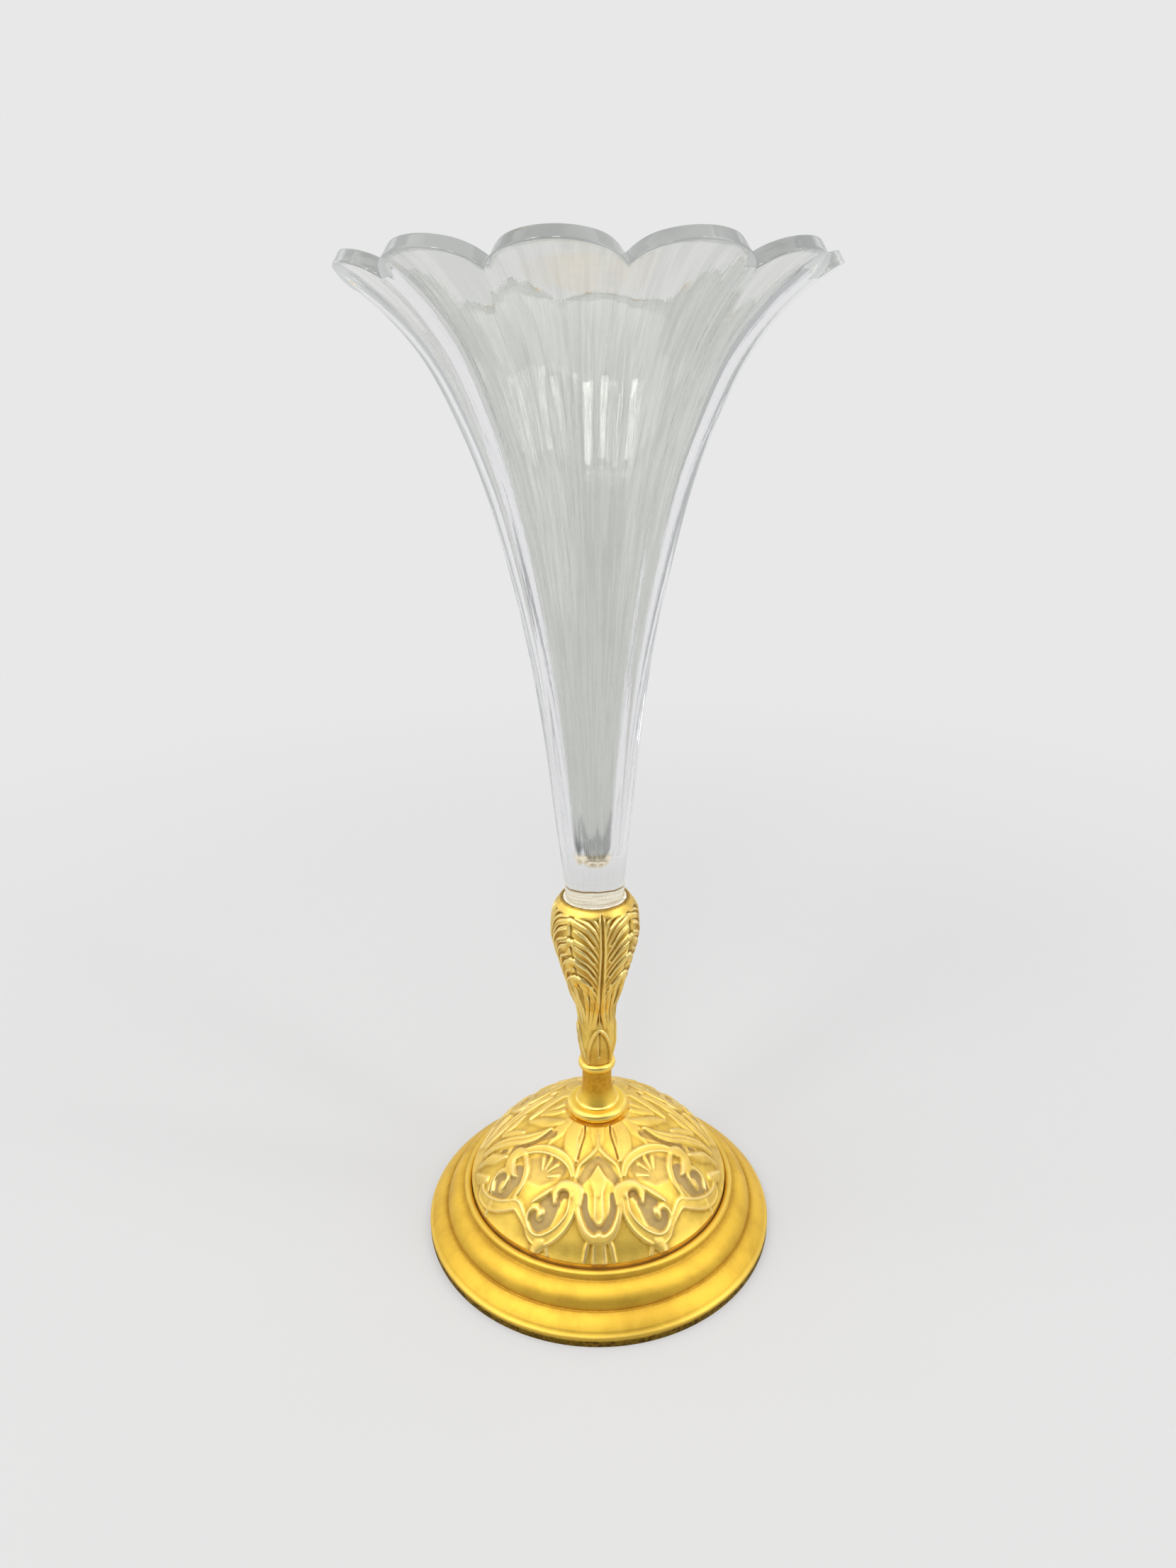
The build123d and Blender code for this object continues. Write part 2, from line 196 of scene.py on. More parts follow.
class Relief:
    # a plan with its heights, and a mask of where the dull ground shows
    def __init__(self, x, y, scale=1.0):
        self.x, self.y, self.scale = x, y, scale
        self.height = np.zeros(x.shape)
        self.ground = np.zeros(x.shape)

    def near(self, points, half):
        # distance to a stroke and its half width there, worked out only where the stroke can reach
        path = curveThrough(points, 48) if len(points) > 2 else np.array(points, float)
        reach = max(half) + 1
        lo, hi = path.min(0) - reach, path.max(0) + reach
        inside = (self.x > lo[0]) & (self.x < hi[0]) & (self.y > lo[1]) & (self.y < hi[1])
        d = np.full(self.x.shape, 1e3)
        along = np.zeros(self.x.shape)
        if inside.any():
            d[inside], along[inside] = nearLine(self.x[inside], self.y[inside], path)
        return d, np.interp(along, np.linspace(0, 1, len(half)), half)

    def raiseTo(self, value):
        self.height = np.maximum(self.height, value)

    def strap(self, points, half, high, groove=0.0):
        # a flat band with upright edges and, with a groove, two lines along it
        edge = 0.45
        d, w = self.near(points, half)
        rise = high * self.scale * smoothStep(w + edge / 3, w - edge, d)
        dip = groove * smoothStep(w * 0.70, w * 0.35, d)
        self.raiseTo(rise - dip * (rise > 0))
        self.ground *= 1 - smoothStep(w + edge / 2, w - edge / 2, d)

    def leaf(self, points, half, high, base=0.0):
        # a rounded stroke that tapers
        d, w = self.near(points, half)
        inside = np.clip(1 - (d / np.maximum(w, 1e-6)) ** 2, 0, 1)
        self.raiseTo(base * (inside > 0) + (high * self.scale - base) * inside ** 0.55)
        self.ground *= 1 - smoothStep(w + 0.1, w - 0.3, d)

    def sink(self, points, half, depth, dull=1.0, edge=0.35):
        # a cut to a fixed depth; a negative depth leaves its floor above the plain field
        d, w = self.near(points, half)
        cut = smoothStep(w + edge / 2, w - edge / 2, d)
        self.height = self.height * (1 - cut) - depth * cut
        self.ground = np.maximum(self.ground, dull * cut)

    def bump(self, centre, radius, high):
        d = np.hypot(self.x - centre[0], self.y - centre[1])
        self.raiseTo(high * self.scale * np.clip(1 - (d / radius) ** 2, 0, 1) ** 0.5)
        self.ground *= 1 - smoothStep(radius, radius - 0.4, d)


# finishes

def colour(red, green, blue):
    # an 8 bit colour as it is seen, turned into the linear value that the nodes want
    def linear(c):
        return c / 255 / 12.92 if c <= 10 else ((c / 255 + 0.055) / 1.055) ** 2.4
    return linear(red), linear(green), linear(blue), 1


black = colour(0, 0, 0)


def addNode(tree, kind, inputs=None, **settings):
    made = tree.nodes.new("ShaderNode" + kind)
    for key, value in settings.items():
        setattr(made, key, value)
    for key, value in (inputs or {}).items():
        if isinstance(value, bpy.types.NodeSocket):
            tree.links.new(value, made.inputs[key])
        else:
            made.inputs[key].default_value = value
    return made


def wire(tree, end, **sockets):
    for key, socket in sockets.items():
        tree.links.new(socket, end.inputs[key])


def mathNode(tree, operation, *values, clamp=False):
    return addNode(tree, "Math", dict(enumerate(values)), operation=operation, use_clamp=clamp).outputs[0]


def times(tree, first, second, clamp=False):
    return mathNode(tree, "MULTIPLY", first, second, clamp=clamp)


def timesPlus(tree, first, second, more, clamp=False):
    return mathNode(tree, "MULTIPLY_ADD", first, second, more, clamp=clamp)


def mixColour(tree, factor, low, high):
    return addNode(tree, "Mix", {0: factor, 6: low, 7: high}, data_type="RGBA").outputs[2]


def mapped(tree, value, low, high, toLow=0.0, toHigh=1.0):
    limits = {0: value, 1: low, 2: high, 3: toLow, 4: toHigh}
    return addNode(tree, "MapRange", limits, interpolation_type="SMOOTHSTEP").outputs[0]


def noise(tree, vector, scale, detail, rough):
    looks = {"Vector": vector, "Scale": scale, "Detail": detail, "Roughness": rough}
    return addNode(tree, "TexNoise", looks).outputs[0]


def bumped(tree, height, strength, distance, **normal):
    given = {"Height": height, "Strength": strength, "Distance": distance, **normal}
    return addNode(tree, "Bump", given).outputs[0]


def objectPlace(tree):
    return addNode(tree, "TexCoord").outputs["Object"]


def parted(tree, vector):
    return addNode(tree, "SeparateXYZ", {0: vector}).outputs


def joined(tree, *values):
    return addNode(tree, "CombineXYZ", dict(enumerate(values))).outputs[0]


def attribute(tree, name):
    return addNode(tree, "Attribute", attribute_name=name).outputs["Fac"]


def newGroup(name, colours, values, outputs):
    tree = bpy.data.node_groups.new(name, "ShaderNodeTree")
    sockets = [(key, "INPUT", "Color") for key in colours] + [(key, "INPUT", "Float") for key in values]
    for key, way, kind in sockets + [(key, "OUTPUT", kind) for key, kind in outputs.items()]:
        tree.interface.new_socket(key, in_out=way, socket_type="NodeSocket" + kind)
    return tree, tree.nodes.new("NodeGroupInput").outputs, tree.nodes.new("NodeGroupOutput")


def newMaterial(name, **plain):
    material = bpy.data.materials.new(name)
    material.use_nodes = True
    shader = material.node_tree.nodes["Principled BSDF"]
    for key, value in plain.items():
        shader.inputs[key].default_value = value
    return material, material.node_tree, shader


def makeGiltGroup():
    # cast and gilded metal: a painted highlight on the crests, patina and painted shade in the hollows, matte on the
    # dull ground, with a cast grain
    tree, given, end = newGroup(
        "giltFinish", ["Bright", "Deep", "Dull", "CrestHighlight"],
        ["Ground", "Hollow", "Ridge", "Shine", "Wear", "Grain", "Satin"],
        {"Color": "Color", "Roughness": "Float", "Normal": "Vector"})
    place = objectPlace(tree)
    blotch = noise(tree, place, 95, 4, 0.6)
    speck = noise(tree, place, 620, 3, 0.6)
    grain = noise(tree, place, 2400, 2, 0.6)
    worn = times(tree, mapped(tree, blotch, 0.42, 0.66), given["Wear"])
    tone = mixColour(tree, times(tree, worn, 0.45), given["Bright"], given["Deep"])
    patina = timesPlus(tree, mapped(tree, speck, 0.35, 0.7), 0.3, 0.75)
    # patina and painted shade darken the hollows; the crests take a painted highlight
    hollowPatinaAndShade = times(tree, given["Hollow"], patina, clamp=True)
    dulled = times(tree, given["Ground"], patina, clamp=True)
    paintedHighlight = times(tree, given["Ridge"], given["Shine"], clamp=True)
    for share, shown in ((hollowPatinaAndShade, "Deep"), (dulled, "Dull"), (paintedHighlight, "CrestHighlight")):
        tone = mixColour(tree, share, tone, given[shown])
    matte = timesPlus(tree, given["Ground"], 0.25, given["Satin"])
    matte = timesPlus(tree, hollowPatinaAndShade, 0.18, matte)
    matte = timesPlus(tree, speck, 0.10, matte, clamp=True)
    matte = timesPlus(tree, given["Ridge"], -0.08, matte, clamp=True)
    relief = timesPlus(tree, grain, given["Grain"], times(tree, speck, 0.8))
    wire(tree, end, Color=tone, Roughness=matte, Normal=bumped(tree, relief, 0.35, 0.00012))
    return tree


def makeTurnedGroup():
    # fine lines that run round a turned piece
    tree, given, end = newGroup("turnedLines", [], ["Depth"], {"Height": "Float"})
    split = parted(tree, objectPlace(tree))
    squares = [mathNode(tree, "POWER", split[k], 2.0) for k in (0, 1)]
    across = mathNode(tree, "SQRT", mathNode(tree, "ADD", *squares))
    lines = noise(tree, joined(tree, across, split[2]), 3200, 4, 0.7)
    wire(tree, end, Height=times(tree, lines, given["Depth"]))
    return tree


giltGroup = makeGiltGroup()
turnedGroup = makeTurnedGroup()


def giltMaterial(name, look, lines=0.0):
    material, tree, shader = newMaterial(name, Metallic=1.0)
    masks = {key: attribute(tree, key.lower()) for key in ("Ground", "Hollow", "Ridge")}
    finish = addNode(tree, "Group", {**look, **masks}, node_tree=giltGroup).outputs
    normal = finish["Normal"]
    if lines:
        turning = addNode(tree, "Group", {"Depth": lines}, node_tree=turnedGroup)
        normal = bumped(tree, turning.outputs["Height"], 0.3, 0.00005, Normal=normal)
    wire(tree, shader, **{"Base Color": finish["Color"], "Roughness": finish["Roughness"], "Normal": normal})
    return material


# Deep shows as patina and painted shade in the hollows; the crest colour is a painted highlight
castLook = {
    "Bright": colour(248, 212, 98), "Deep": colour(150, 106, 34), "Dull": colour(200, 178, 128),
    "CrestHighlight": colour(246, 220, 152), "Shine": 0.7, "Wear": 0.55, "Grain": 0.8, "Satin": 0.40,
}
leafLook = {
    "Bright": colour(250, 214, 108), "Deep": colour(120, 82, 18), "Dull": colour(186, 140, 46),
    "CrestHighlight": colour(252, 232, 158), "Shine": 0.9, "Wear": 0.9, "Grain": 0.8, "Satin": 0.38,
}
# on the ring the dull colour is painted shade: it darkens the upright side wall of the foot
ringLook = {
    "Bright": colour(232, 191, 72), "Deep": colour(160, 110, 36), "Dull": colour(92, 70, 22),
    "CrestHighlight": colour(248, 214, 108), "Shine": 0.6, "Wear": 0.5, "Grain": 0.4, "Satin": 0.45,
}
neckLook = {
    "Bright": colour(252, 216, 92), "Deep": colour(200, 146, 40), "Dull": colour(140, 98, 24),
    "CrestHighlight": colour(255, 226, 130), "Shine": 0.7, "Wear": 0.3, "Grain": 0.3, "Satin": 0.40,
}
castGilt = giltMaterial("castGilt", castLook)
leafGilt = giltMaterial("leafGilt", leafLook)
ringGilt = giltMaterial("ringGilt", ringLook, lines=0.6)
neckGilt = giltMaterial("neckGilt", neckLook, lines=0.8)

crystalLook = {
    "clear": colour(250, 250, 252), "shadePale": colour(222, 224, 217), "shadeGrey": colour(203, 206, 198),
    "residue": colour(62, 66, 74), "rim": colour(150, 152, 149), "rimGlowDark": colour(84, 86, 83),
    "rimGlowPale": colour(112, 114, 111), "trapped": colour(128, 130, 130), "pathEnd": 3.5, "drawn": 1.6,
}


def makeCrystal():
    look = crystalLook
    material, tree, shader = newMaterial(
        "crystal", **{"Transmission Weight": 1.0, "IOR": 1.54, "Metallic": 0.0, "Emission Strength": 1.0})
    place = objectPlace(tree)
    split = parted(tree, place)
    flat = joined(tree, split[0], split[1])
    outward = parted(tree, addNode(tree, "VectorMath", {0: flat}, operation="NORMALIZE").outputs[0])
    drawn = joined(tree, outward[0], outward[1], times(tree, split[2], look["drawn"]))
    streaks = noise(tree, drawn, 26, 3, 0.55)   # long streaks from the drawing of the glass
    waves = noise(tree, place, 48, 2, 0.4)
    # painted shade: the inside is tinted a faint streaked grey; at the bottom it carries a dark comb of lime where
    # the water stood
    residue, rim = attribute(tree, "residue"), attribute(tree, "rim")
    filmAndShade = mixColour(tree, mapped(tree, streaks, 0.38, 0.62), look["shadePale"], look["shadeGrey"])
    tint = mixColour(tree, attribute(tree, "inside"), look["clear"], filmAndShade)
    tint = mixColour(tree, residue, tint, look["residue"])
    tint = mixColour(tree, rim, tint, look["rim"])
    rough = timesPlus(tree, residue, 0.03, 0.004)
    rough = timesPlus(tree, rim, 0.12, rough)
    # painted glow: the cut edge gives off its own grey light, standing in for the light that runs up inside the wall
    edgeGlowTone = mixColour(tree, mapped(tree, waves, 0.4, 0.6), look["rimGlowDark"], look["rimGlowPale"])
    glow = mixColour(tree, rim, black, edgeGlowTone)
    # painted glow: from the fourth glossy bounce on, the glass turns black and gives off a grey light, so light
    # trapped in the wall ends grey, not black
    trapped = mathNode(tree, "GREATER_THAN", addNode(tree, "LightPath").outputs["Glossy Depth"], look["pathEnd"])
    tint = mixColour(tree, trapped, tint, black)
    glow = mixColour(tree, trapped, glow, look["trapped"])
    height = mathNode(tree, "ADD", streaks, times(tree, waves, 0.8))
    height = times(tree, height, mathNode(tree, "SUBTRACT", 1.0, rim))
    bump = bumped(tree, height, 0.16, 0.0003)
    wire(tree, shader, **{"Base Color": tint, "Roughness": rough, "Emission Color": glow, "Normal": bump})
    return material


def makePlaster():
    material, tree, shader = newMaterial("plaster", **{"Metallic": 0.0, "Emission Strength": 1.0})
    place = objectPlace(tree)
    lumps = noise(tree, place, 700, 4, 0.65)
    soil = noise(tree, place, 900, 4, 0.7)
    tone = mixColour(tree, mapped(tree, soil, 0.4, 0.7), colour(236, 232, 220), colour(168, 154, 128))
    # painted light: the plaster gives off its own light, more towards the top, standing in for the light that comes
    # down through the glass
    lit = mapped(tree, parted(tree, place)[2], 0.112, 0.134, 0.16, 0.55)
    glow = mixColour(tree, lit, black, tone)
    rough = timesPlus(tree, lumps, 0.2, 0.7)
    bump = bumped(tree, lumps, 0.6, 0.0003)
    wire(tree, shader, **{"Base Color": tone, "Roughness": rough, "Emission Color": glow, "Normal": bump})
    return material


def makeSteel():
    material, tree, shader = newMaterial("turnedSteel", Metallic=1.0)
    turning = addNode(tree, "Group", {"Depth": 1.0}, node_tree=turnedGroup)
    soil = mapped(tree, noise(tree, objectPlace(tree), 260, 4, 0.6), 0.4, 0.7)
    tone = mixColour(tree, soil, colour(190, 188, 182), colour(128, 112, 92))
    rough = timesPlus(tree, soil, 0.25, 0.28)
    bump = bumped(tree, turning.outputs["Height"], 0.4, 0.0001)
    wire(tree, shader, **{"Base Color": tone, "Roughness": rough, "Normal": bump})
    return material


crystal, plaster, steel = makeCrystal(), makePlaster(), makeSteel()
print("finishes made")


# base ring

ring = {
    "sideHigh": 3.5, "flangeIn": 57.9, "flangeHigh": 8.6, "flangeBulge": 0.4, "quirk": 0.5,
    "ovoloIn": 50.7, "ledgeHigh": 14.7, "ovoloBulge": 1.5, "beadRadius": 1.4,
    "ledgeIn": 38.0, "ledgeThick": 3.0, "wall": 3.3, "columns": 360,
}


def bulged(start, end, bulge, count):
    # an arc between two points that stands out to the right of its chord by the bulge
    (r0, z0), (r1, z1) = start, end
    run = math.hypot(r1 - r0, z1 - z0)
    out = ((z1 - z0) / run, -(r1 - r0) / run)
    radius = (run * run / 4 + bulge * bulge) / (2 * bulge)
    points = []
    for i in range(count + 1):
        lift = math.sqrt(radius * radius - ((i / count - 0.5) * run) ** 2) - radius + bulge
        r, z = r0 + (r1 - r0) * i / count, z0 + (z1 - z0) * i / count
        points.append((r + out[0] * lift, z + out[1] * lift))
    return points


def makeRing():
    p = ring
    low, soft = 0.35, 0.3     # roundings of the foot and of the flange's edge
    sideHigh, flangeHigh, ledgeHigh = p["sideHigh"], p["flangeHigh"], p["ledgeHigh"]
    flangeIn, ovoloIn, ledgeIn, bead, wall = (p[k] for k in ("flangeIn", "ovoloIn", "ledgeIn", "beadRadius", "wall"))
    seat = ovoloIn - 2 * bead
    beadCentre = (ovoloIn - bead, ledgeHigh + bead)
    quirkPoint = (flangeIn - p["quirk"], flangeHigh - p["quirk"])
    section = [(ringRadius - low, 0.0), (ringRadius - low * 0.3, low * 0.3), (ringRadius, low)]
    section += [(ringRadius, sideHigh - soft), (ringRadius - soft * 0.4, sideHigh - soft * 0.1)]
    flange = bulged((ringRadius - soft, sideHigh + 0.15), (flangeIn, flangeHigh), p["flangeBulge"], 14)
    # a fine turned line just inside the flange's outer edge
    section += flange[:2] + [(flange[2][0] + 0.02, flange[2][1] - 0.22)] + flange[3:]
    section += [quirkPoint] + bulged(quirkPoint, (ovoloIn, ledgeHigh + 0.1), p["ovoloBulge"], 22)[1:]
    section += arc(beadCentre, bead, 0, 180, 16)
    section += [(seat, ledgeHigh), (ledgeIn, ledgeHigh), (ledgeIn, ledgeHigh - p["ledgeThick"])]
    section += [(seat, ledgeHigh - p["ledgeThick"]), (flangeIn - wall, flangeHigh - wall / 2)]
    section += [(ringRadius - wall, sideHigh - wall / 2), (ringRadius - wall, 0.0)]
    section = finer(section, 0.8)
    s = np.array(section)
    shown = np.arange(len(s)) < section.index((seat, ledgeHigh))   # the rest is under the dome or faces the table

    def near(centre, reach):
        return np.exp(-(np.hypot(s[:, 0] - centre[0], s[:, 1] - centre[1]) / reach) ** 2)

    # patina and painted shade in the creases: at the quirk, at the foot of the ovolo and at the seat
    folds = [near((flangeIn - 0.5, flangeHigh - 0.4), 1.5), near((ovoloIn, ledgeHigh + 0.3), 1.2),
             near((seat, ledgeHigh + 0.4), 1.2)]
    hollow = np.where(shown, np.max(folds, axis=0) * 0.5, 0.9)
    # painted shade: the upright side wall of the foot is darkened with the dull colour
    side = (s[:, 0] > ringRadius - 0.3) & (s[:, 1] < sideHigh)
    ground = side * smoothStep(sideHigh - 0.1, sideHigh - 0.9, s[:, 1])
    # painted highlights on the flange's outer edge and on the top of the bead
    crests = near((ringRadius - 0.5, sideHigh + 0.2), 0.6), near((beadCentre[0], beadCentre[1] + 1.4), 0.8)
    ridge = np.max(crests, axis=0) * shown
    return turnedPiece("base_ring", section, p["columns"], {"hollow": hollow, "ridge": ridge, "ground": ground})


fit(makeRing(), ringGilt, "gilt_ring", "base_moulding")


# turned neck: collar, spool and bead

neck = {
    "boreRadius": 2.9, "spoolFoot": 8.1, "spoolWaist": 5.3, "columns": 160,
    # the spool's side: share of its height, share of its flare
    "spoolShares": [(0.0, 1.0), (0.03, 0.93), (0.085, 0.68), (0.30, 0.25), (0.51, 0.04), (0.75, 0.0), (1.0, 0.0)],
}


def roundedDisc(name, radius, low, high):
    edge = (high - low) / 2
    rounded = arc((radius - edge, low + edge), edge, -90, 90, 20)
    section = finer([(neck["boreRadius"], low)] + rounded + [(neck["boreRadius"], high)], 0.6)
    s = np.array(section)
    # painted shade on the underside of the disc and a painted highlight along its upper edge
    hollow = 0.8 * smoothStep(low + 0.9, low, s[:, 1])
    ridge = np.exp(-((s[:, 1] - high + 0.6 * edge) / (0.5 * edge)) ** 2) * (s[:, 0] > radius - edge)
    masks = {"hollow": hollow, "ridge": ridge, "ground": hollow * 0}
    return turnedPiece(name, section, neck["columns"], masks)


def makeSpool():
    high = neckHigh - collarHigh
    width = neck["spoolFoot"] - neck["spoolWaist"]
    points = [(neck["spoolWaist"] + width * out, collarHigh + high * up) for up, out in neck["spoolShares"]]
    side = [tuple(p) for p in curveThrough(points, 60)]
    section = [(neck["boreRadius"], collarHigh)] + side + [(neck["boreRadius"], neckHigh)]
    # painted dark reflection: the waist is darker and browner, darkest right under the bead, and the flared foot gets
    # a painted highlight
    share = (np.array(section)[:, 1] - collarHigh) / high
    hollow = 0.85 * smoothStep(0.12, 0.5, share)
    ridge = smoothStep(0.12, 0.03, share)
    masks = {"hollow": hollow, "ridge": ridge, "ground": hollow * 0}
    return turnedPiece("neck_stem", section, neck["columns"], masks)


fit(roundedDisc("dome_collar", collarRadius, collarLow, collarHigh), neckGilt, "gilt_neck", "foot_collar")
fit(makeSpool(), neckGilt, "gilt_neck", "neck_spool")
fit(roundedDisc("neck_bead", beadRadius, neckHigh, beadHigh), neckGilt, "gilt_neck", "bead_ring")


# relief dome

dome = {
    "crownRadius": 10.5, "footRadius": 47.6, "footHigh": 18.4, "seatHigh": 14.7, "wall": 2.6,
    "shares": [(0.0, 1.0), (0.202, 0.894), (0.391, 0.761), (0.580, 0.606), (0.741, 0.437), (0.876, 0.229),
               (0.957, 0.074), (1.0, 0.0)],
    "padRadius": 8.0, "padLow": 42.0, "boreRadius": 2.9, "rows": 230, "columns": 1200, "relief": 1.15,
    "bossRadius": 3.5, "bossBore": 1.7, "bossAt": 42.0, "bossTurns": (60, 180, 300), "bossHigh": 23.7,
}


def carveDome(x, y):
    # the plan is folded twice, so one quarter is drawn: x to the side, y outwards to the front
    plan = Relief(x, y, dome["relief"])
    leaf, strap, sink, bump = plan.leaf, plan.strap, plan.sink, plan.bump
    plan.raiseTo(0.42 * smoothStep(9, 12, np.hypot(x, y)))     # the plain field of the dome

    # broad leaves come down from the collar, with small ones between them
    leaf([(1.2, 9.8), (0.8, 14.0), (0.0, 19.0)], [1.3, 1.5, 1.2], 0.68, base=0.42)
    leaf([(5.0, 8.4), (7.6, 12.6), (8.7, 17.2), (7.6, 22.4)], [2.6, 3.5, 3.2, 0.8], 0.98, base=0.5)
    leaf([(10.2, 7.6), (13.8, 11.0), (17.0, 14.2)], [1.8, 2.5, 0.8], 0.82, base=0.45)
    sink([(5.2, 11.6), (6.3, 15.2), (6.6, 18.6)], [0.2, 0.42, 0.2], -0.6, dull=0.15)
    sink([(4.2, 10.4), (4.6, 14.4), (5.9, 18.2), (7.0, 22.0)], [0.22, 0.28, 0.28, 0.2], 0.0, dull=0.2)
    strap([(0.0, 13.5), (0.2, 18.4), (2.2, 21.0), (4.4, 22.6), (6.6, 24.4), (7.7, 27.6)],
          [0.5, 0.8, 0.95, 0.95, 0.9, 0.8], 0.9)

    # dull ground under the arch, round the eyes and in the bay of the tongue
    sink([(13.6, 24.6), (19.0, 22.4), (23.4, 20.6)], [2.4, 4.6, 3.4], -0.12, dull=0.38, edge=1.4)
    sink([(14.6, 33.6), (17.6, 35.2), (21.4, 35.6)], [1.3, 3.0, 2.7], 0.18, dull=0.95, edge=0.9)
    sink([(16.4, 31.8), (19.6, 32.4)], [1.0, 0.9], 0.10, dull=0.8, edge=0.8)
    sink([(29.6, 20.6), (32.6, 20.6), (35.8, 18.6)], [3.4, 4.6, 3.6], 0.20, dull=0.95, edge=0.9)
    sink([(6.0, 28.6), (2.8, 25.2), (0, 23.2)], [1.2, 1.7, 1.6], 0.0, dull=0.6, edge=0.9)
    sink([(15.6, 11.2), (22.5, 10.4), (30.5, 10.2)], [1.2, 1.5, 1.3], 0.0, dull=0.5, edge=1.2)

    # rays under the arch
    for turn in (96, 126, 158, 192):
        across, out = math.cos(math.radians(turn)), -math.sin(math.radians(turn))
        leaf([(19.8 + across * r, 24.6 + out * r) for r in (2.2, 6.0)], [0.4, 0.95], 0.55, base=0.2)

    # tongue with its pointed head, in a channel between the two limbs of the shield
    strap([(6.9, 33.0), (7.0, 37.2), (5.1, 41.0), (2.5, 42.6), (0, 42.9)], [1.0, 1.1, 1.15, 1.15, 1.15], 1.0)
    sink([(4.9, 33.2), (4.8, 36.8), (3.6, 39.2), (2.0, 40.4), (0, 40.7)],
         [0.95, 1.05, 1.05, 1.05, 1.05], 0.28, dull=1.0)
    strap([(0, 38.4), (0, 31.5)], [2.0, 1.8], 0.95, groove=0.3)
    leaf([(0, 32.4), (0, 28.4), (0, 24.2)], [1.8, 3.4, 0.3], 1.0, base=0.5)

    # first volute: a wide band with two lines, rolled up to its eye
    strap([(9.2, 33.6), (9.8, 36.9), (12.6, 39.2), (16.6, 40.3), (20.6, 39.9), (23.6, 37.9), (25.0, 35.0),
           (24.3, 32.8), (22.4, 32.2), (20.7, 33.2)],
          [1.3, 1.7, 1.75, 1.7, 1.6, 1.4, 1.15, 0.95, 0.8, 0.7], 1.0, groove=0.3)
    bump((20.2, 34.6), 1.65, 1.05)
    leaf([(14.8, 28.9), (18.6, 30.0), (22.8, 30.8)], [0.6, 1.1, 0.7], 0.85, base=0.4)

    # hooked leaf over the shoulder of the shield
    leaf([(7.0, 34.6), (7.3, 31.6), (9.6, 29.8), (12.4, 29.1), (14.6, 30.4), (15.1, 33.2)],
         [1.5, 2.3, 2.0, 1.6, 1.4, 0.7], 1.1, base=0.55)
    bump((8.6, 32.0), 2.2, 1.15)
    sink([(11.0, 32.0), (12.0, 31.5), (13.0, 32.4)], [0.7, 0.9, 0.8], 0.15, dull=0.4, edge=0.6)

    # link up to the second volute, which rolls the other way
    strap([(25.0, 35.4), (26.8, 31.8), (28.6, 29.0), (31.6, 27.6), (36.0, 25.0), (39.8, 21.0), (42.0, 16.4),
           (41.8, 12.6)],
          [0.9, 1.3, 1.6, 1.7, 1.7, 1.6, 1.3, 0.7], 1.0, groove=0.3)
    strap([(25.6, 15.4), (25.2, 19.8), (26.6, 24.2), (30.2, 27.4)], [1.0, 1.1, 1.15, 1.0], 0.95, groove=0.2)
    leaf([(37.9, 19.6), (37.3, 16.8), (34.8, 15.7), (32.4, 17.0), (31.7, 19.4), (33.2, 21.4)],
         [0.7, 0.85, 0.9, 0.9, 0.95, 1.0], 0.95, base=0.3)
    bump((34.0, 20.9), 1.9, 1.05)

    # the arch, a wide band with two lines, that ends in a hooked leaf
    strap([(8.8, 26.6), (9.6, 23.6), (11.8, 20.6), (15.5, 17.6), (20.1, 15.1), (24.6, 13.9), (28.0, 14.0)],
          [1.0, 1.5, 1.7, 1.75, 1.7, 1.6, 1.3], 1.05, groove=0.32)
    leaf([(25.6, 14.2), (28.4, 12.6), (30.9, 14.2), (31.0, 17.0), (29.4, 20.6)],
         [1.2, 2.1, 2.1, 1.6, 0.5], 1.1, base=0.55)

    # leaves at the side, in long S curves towards the foot
    leaf([(12.0, 7.4), (16.8, 5.8), (20.6, 3.2), (24.5, 1.0)], [1.2, 2.1, 1.9, 0.7], 0.95, base=0.45)
    leaf([(12.0, 1.8), (16.0, 1.2), (20.0, 0.0)], [1.2, 1.5, 0.9], 0.85, base=0.42)
    leaf([(16.6, 8.8), (21.4, 9.4), (26.2, 8.2), (31.6, 5.6), (36.8, 3.4), (41.4, 2.2)],
         [0.9, 1.9, 2.3, 2.0, 1.8, 1.1], 1.05, base=0.5)
    sink([(20.0, 9.4), (26.0, 8.2), (31.6, 5.6), (38.0, 3.0)], [0.2, 0.35, 0.35, 0.2], -0.75, dull=0.1)
    leaf([(26.8, 4.6), (30.2, 2.6), (34.6, 0.4)], [0.8, 1.6, 1.1], 0.9, base=0.42)
    leaf([(33.0, 11.4), (36.4, 9.8), (39.6, 6.8), (43.2, 5.4)], [0.8, 1.7, 1.7, 0.8], 1.0, base=0.5)
    sink([(33.4, 8.6), (35.0, 7.6)], [0.7, 0.5], 0.1, dull=0.5)
    leaf([(40.4, 13.8), (43.0, 10.8), (44.6, 7.2)], [1.2, 1.4, 0.6], 0.95, base=0.5)

    # spikes and clasps at the foot
    leaf([(38.0, 22.6), (39.6, 24.0), (40.4, 24.9)], [1.3, 0.9, 0.4], 0.95, base=0.4)
    strap([(0, 43.4), (0, 46.8)], [2.2, 2.7], 0.95, groove=0.3)
    leaf([(3.6, 43.0), (4.4, 44.5), (5.2, 46.6)], [0.6, 0.8, 0.6], 0.8, base=0.4)
    leaf([(19.4, 41.0), (21.8, 41.0), (22.6, 42.6)], [1.3, 1.9, 1.3], 1.05, base=0.5)
    leaf([(18.4, 40.8), (18.0, 42.2), (17.6, 43.8)], [0.7, 0.8, 0.5], 0.8, base=0.4)
    return plan


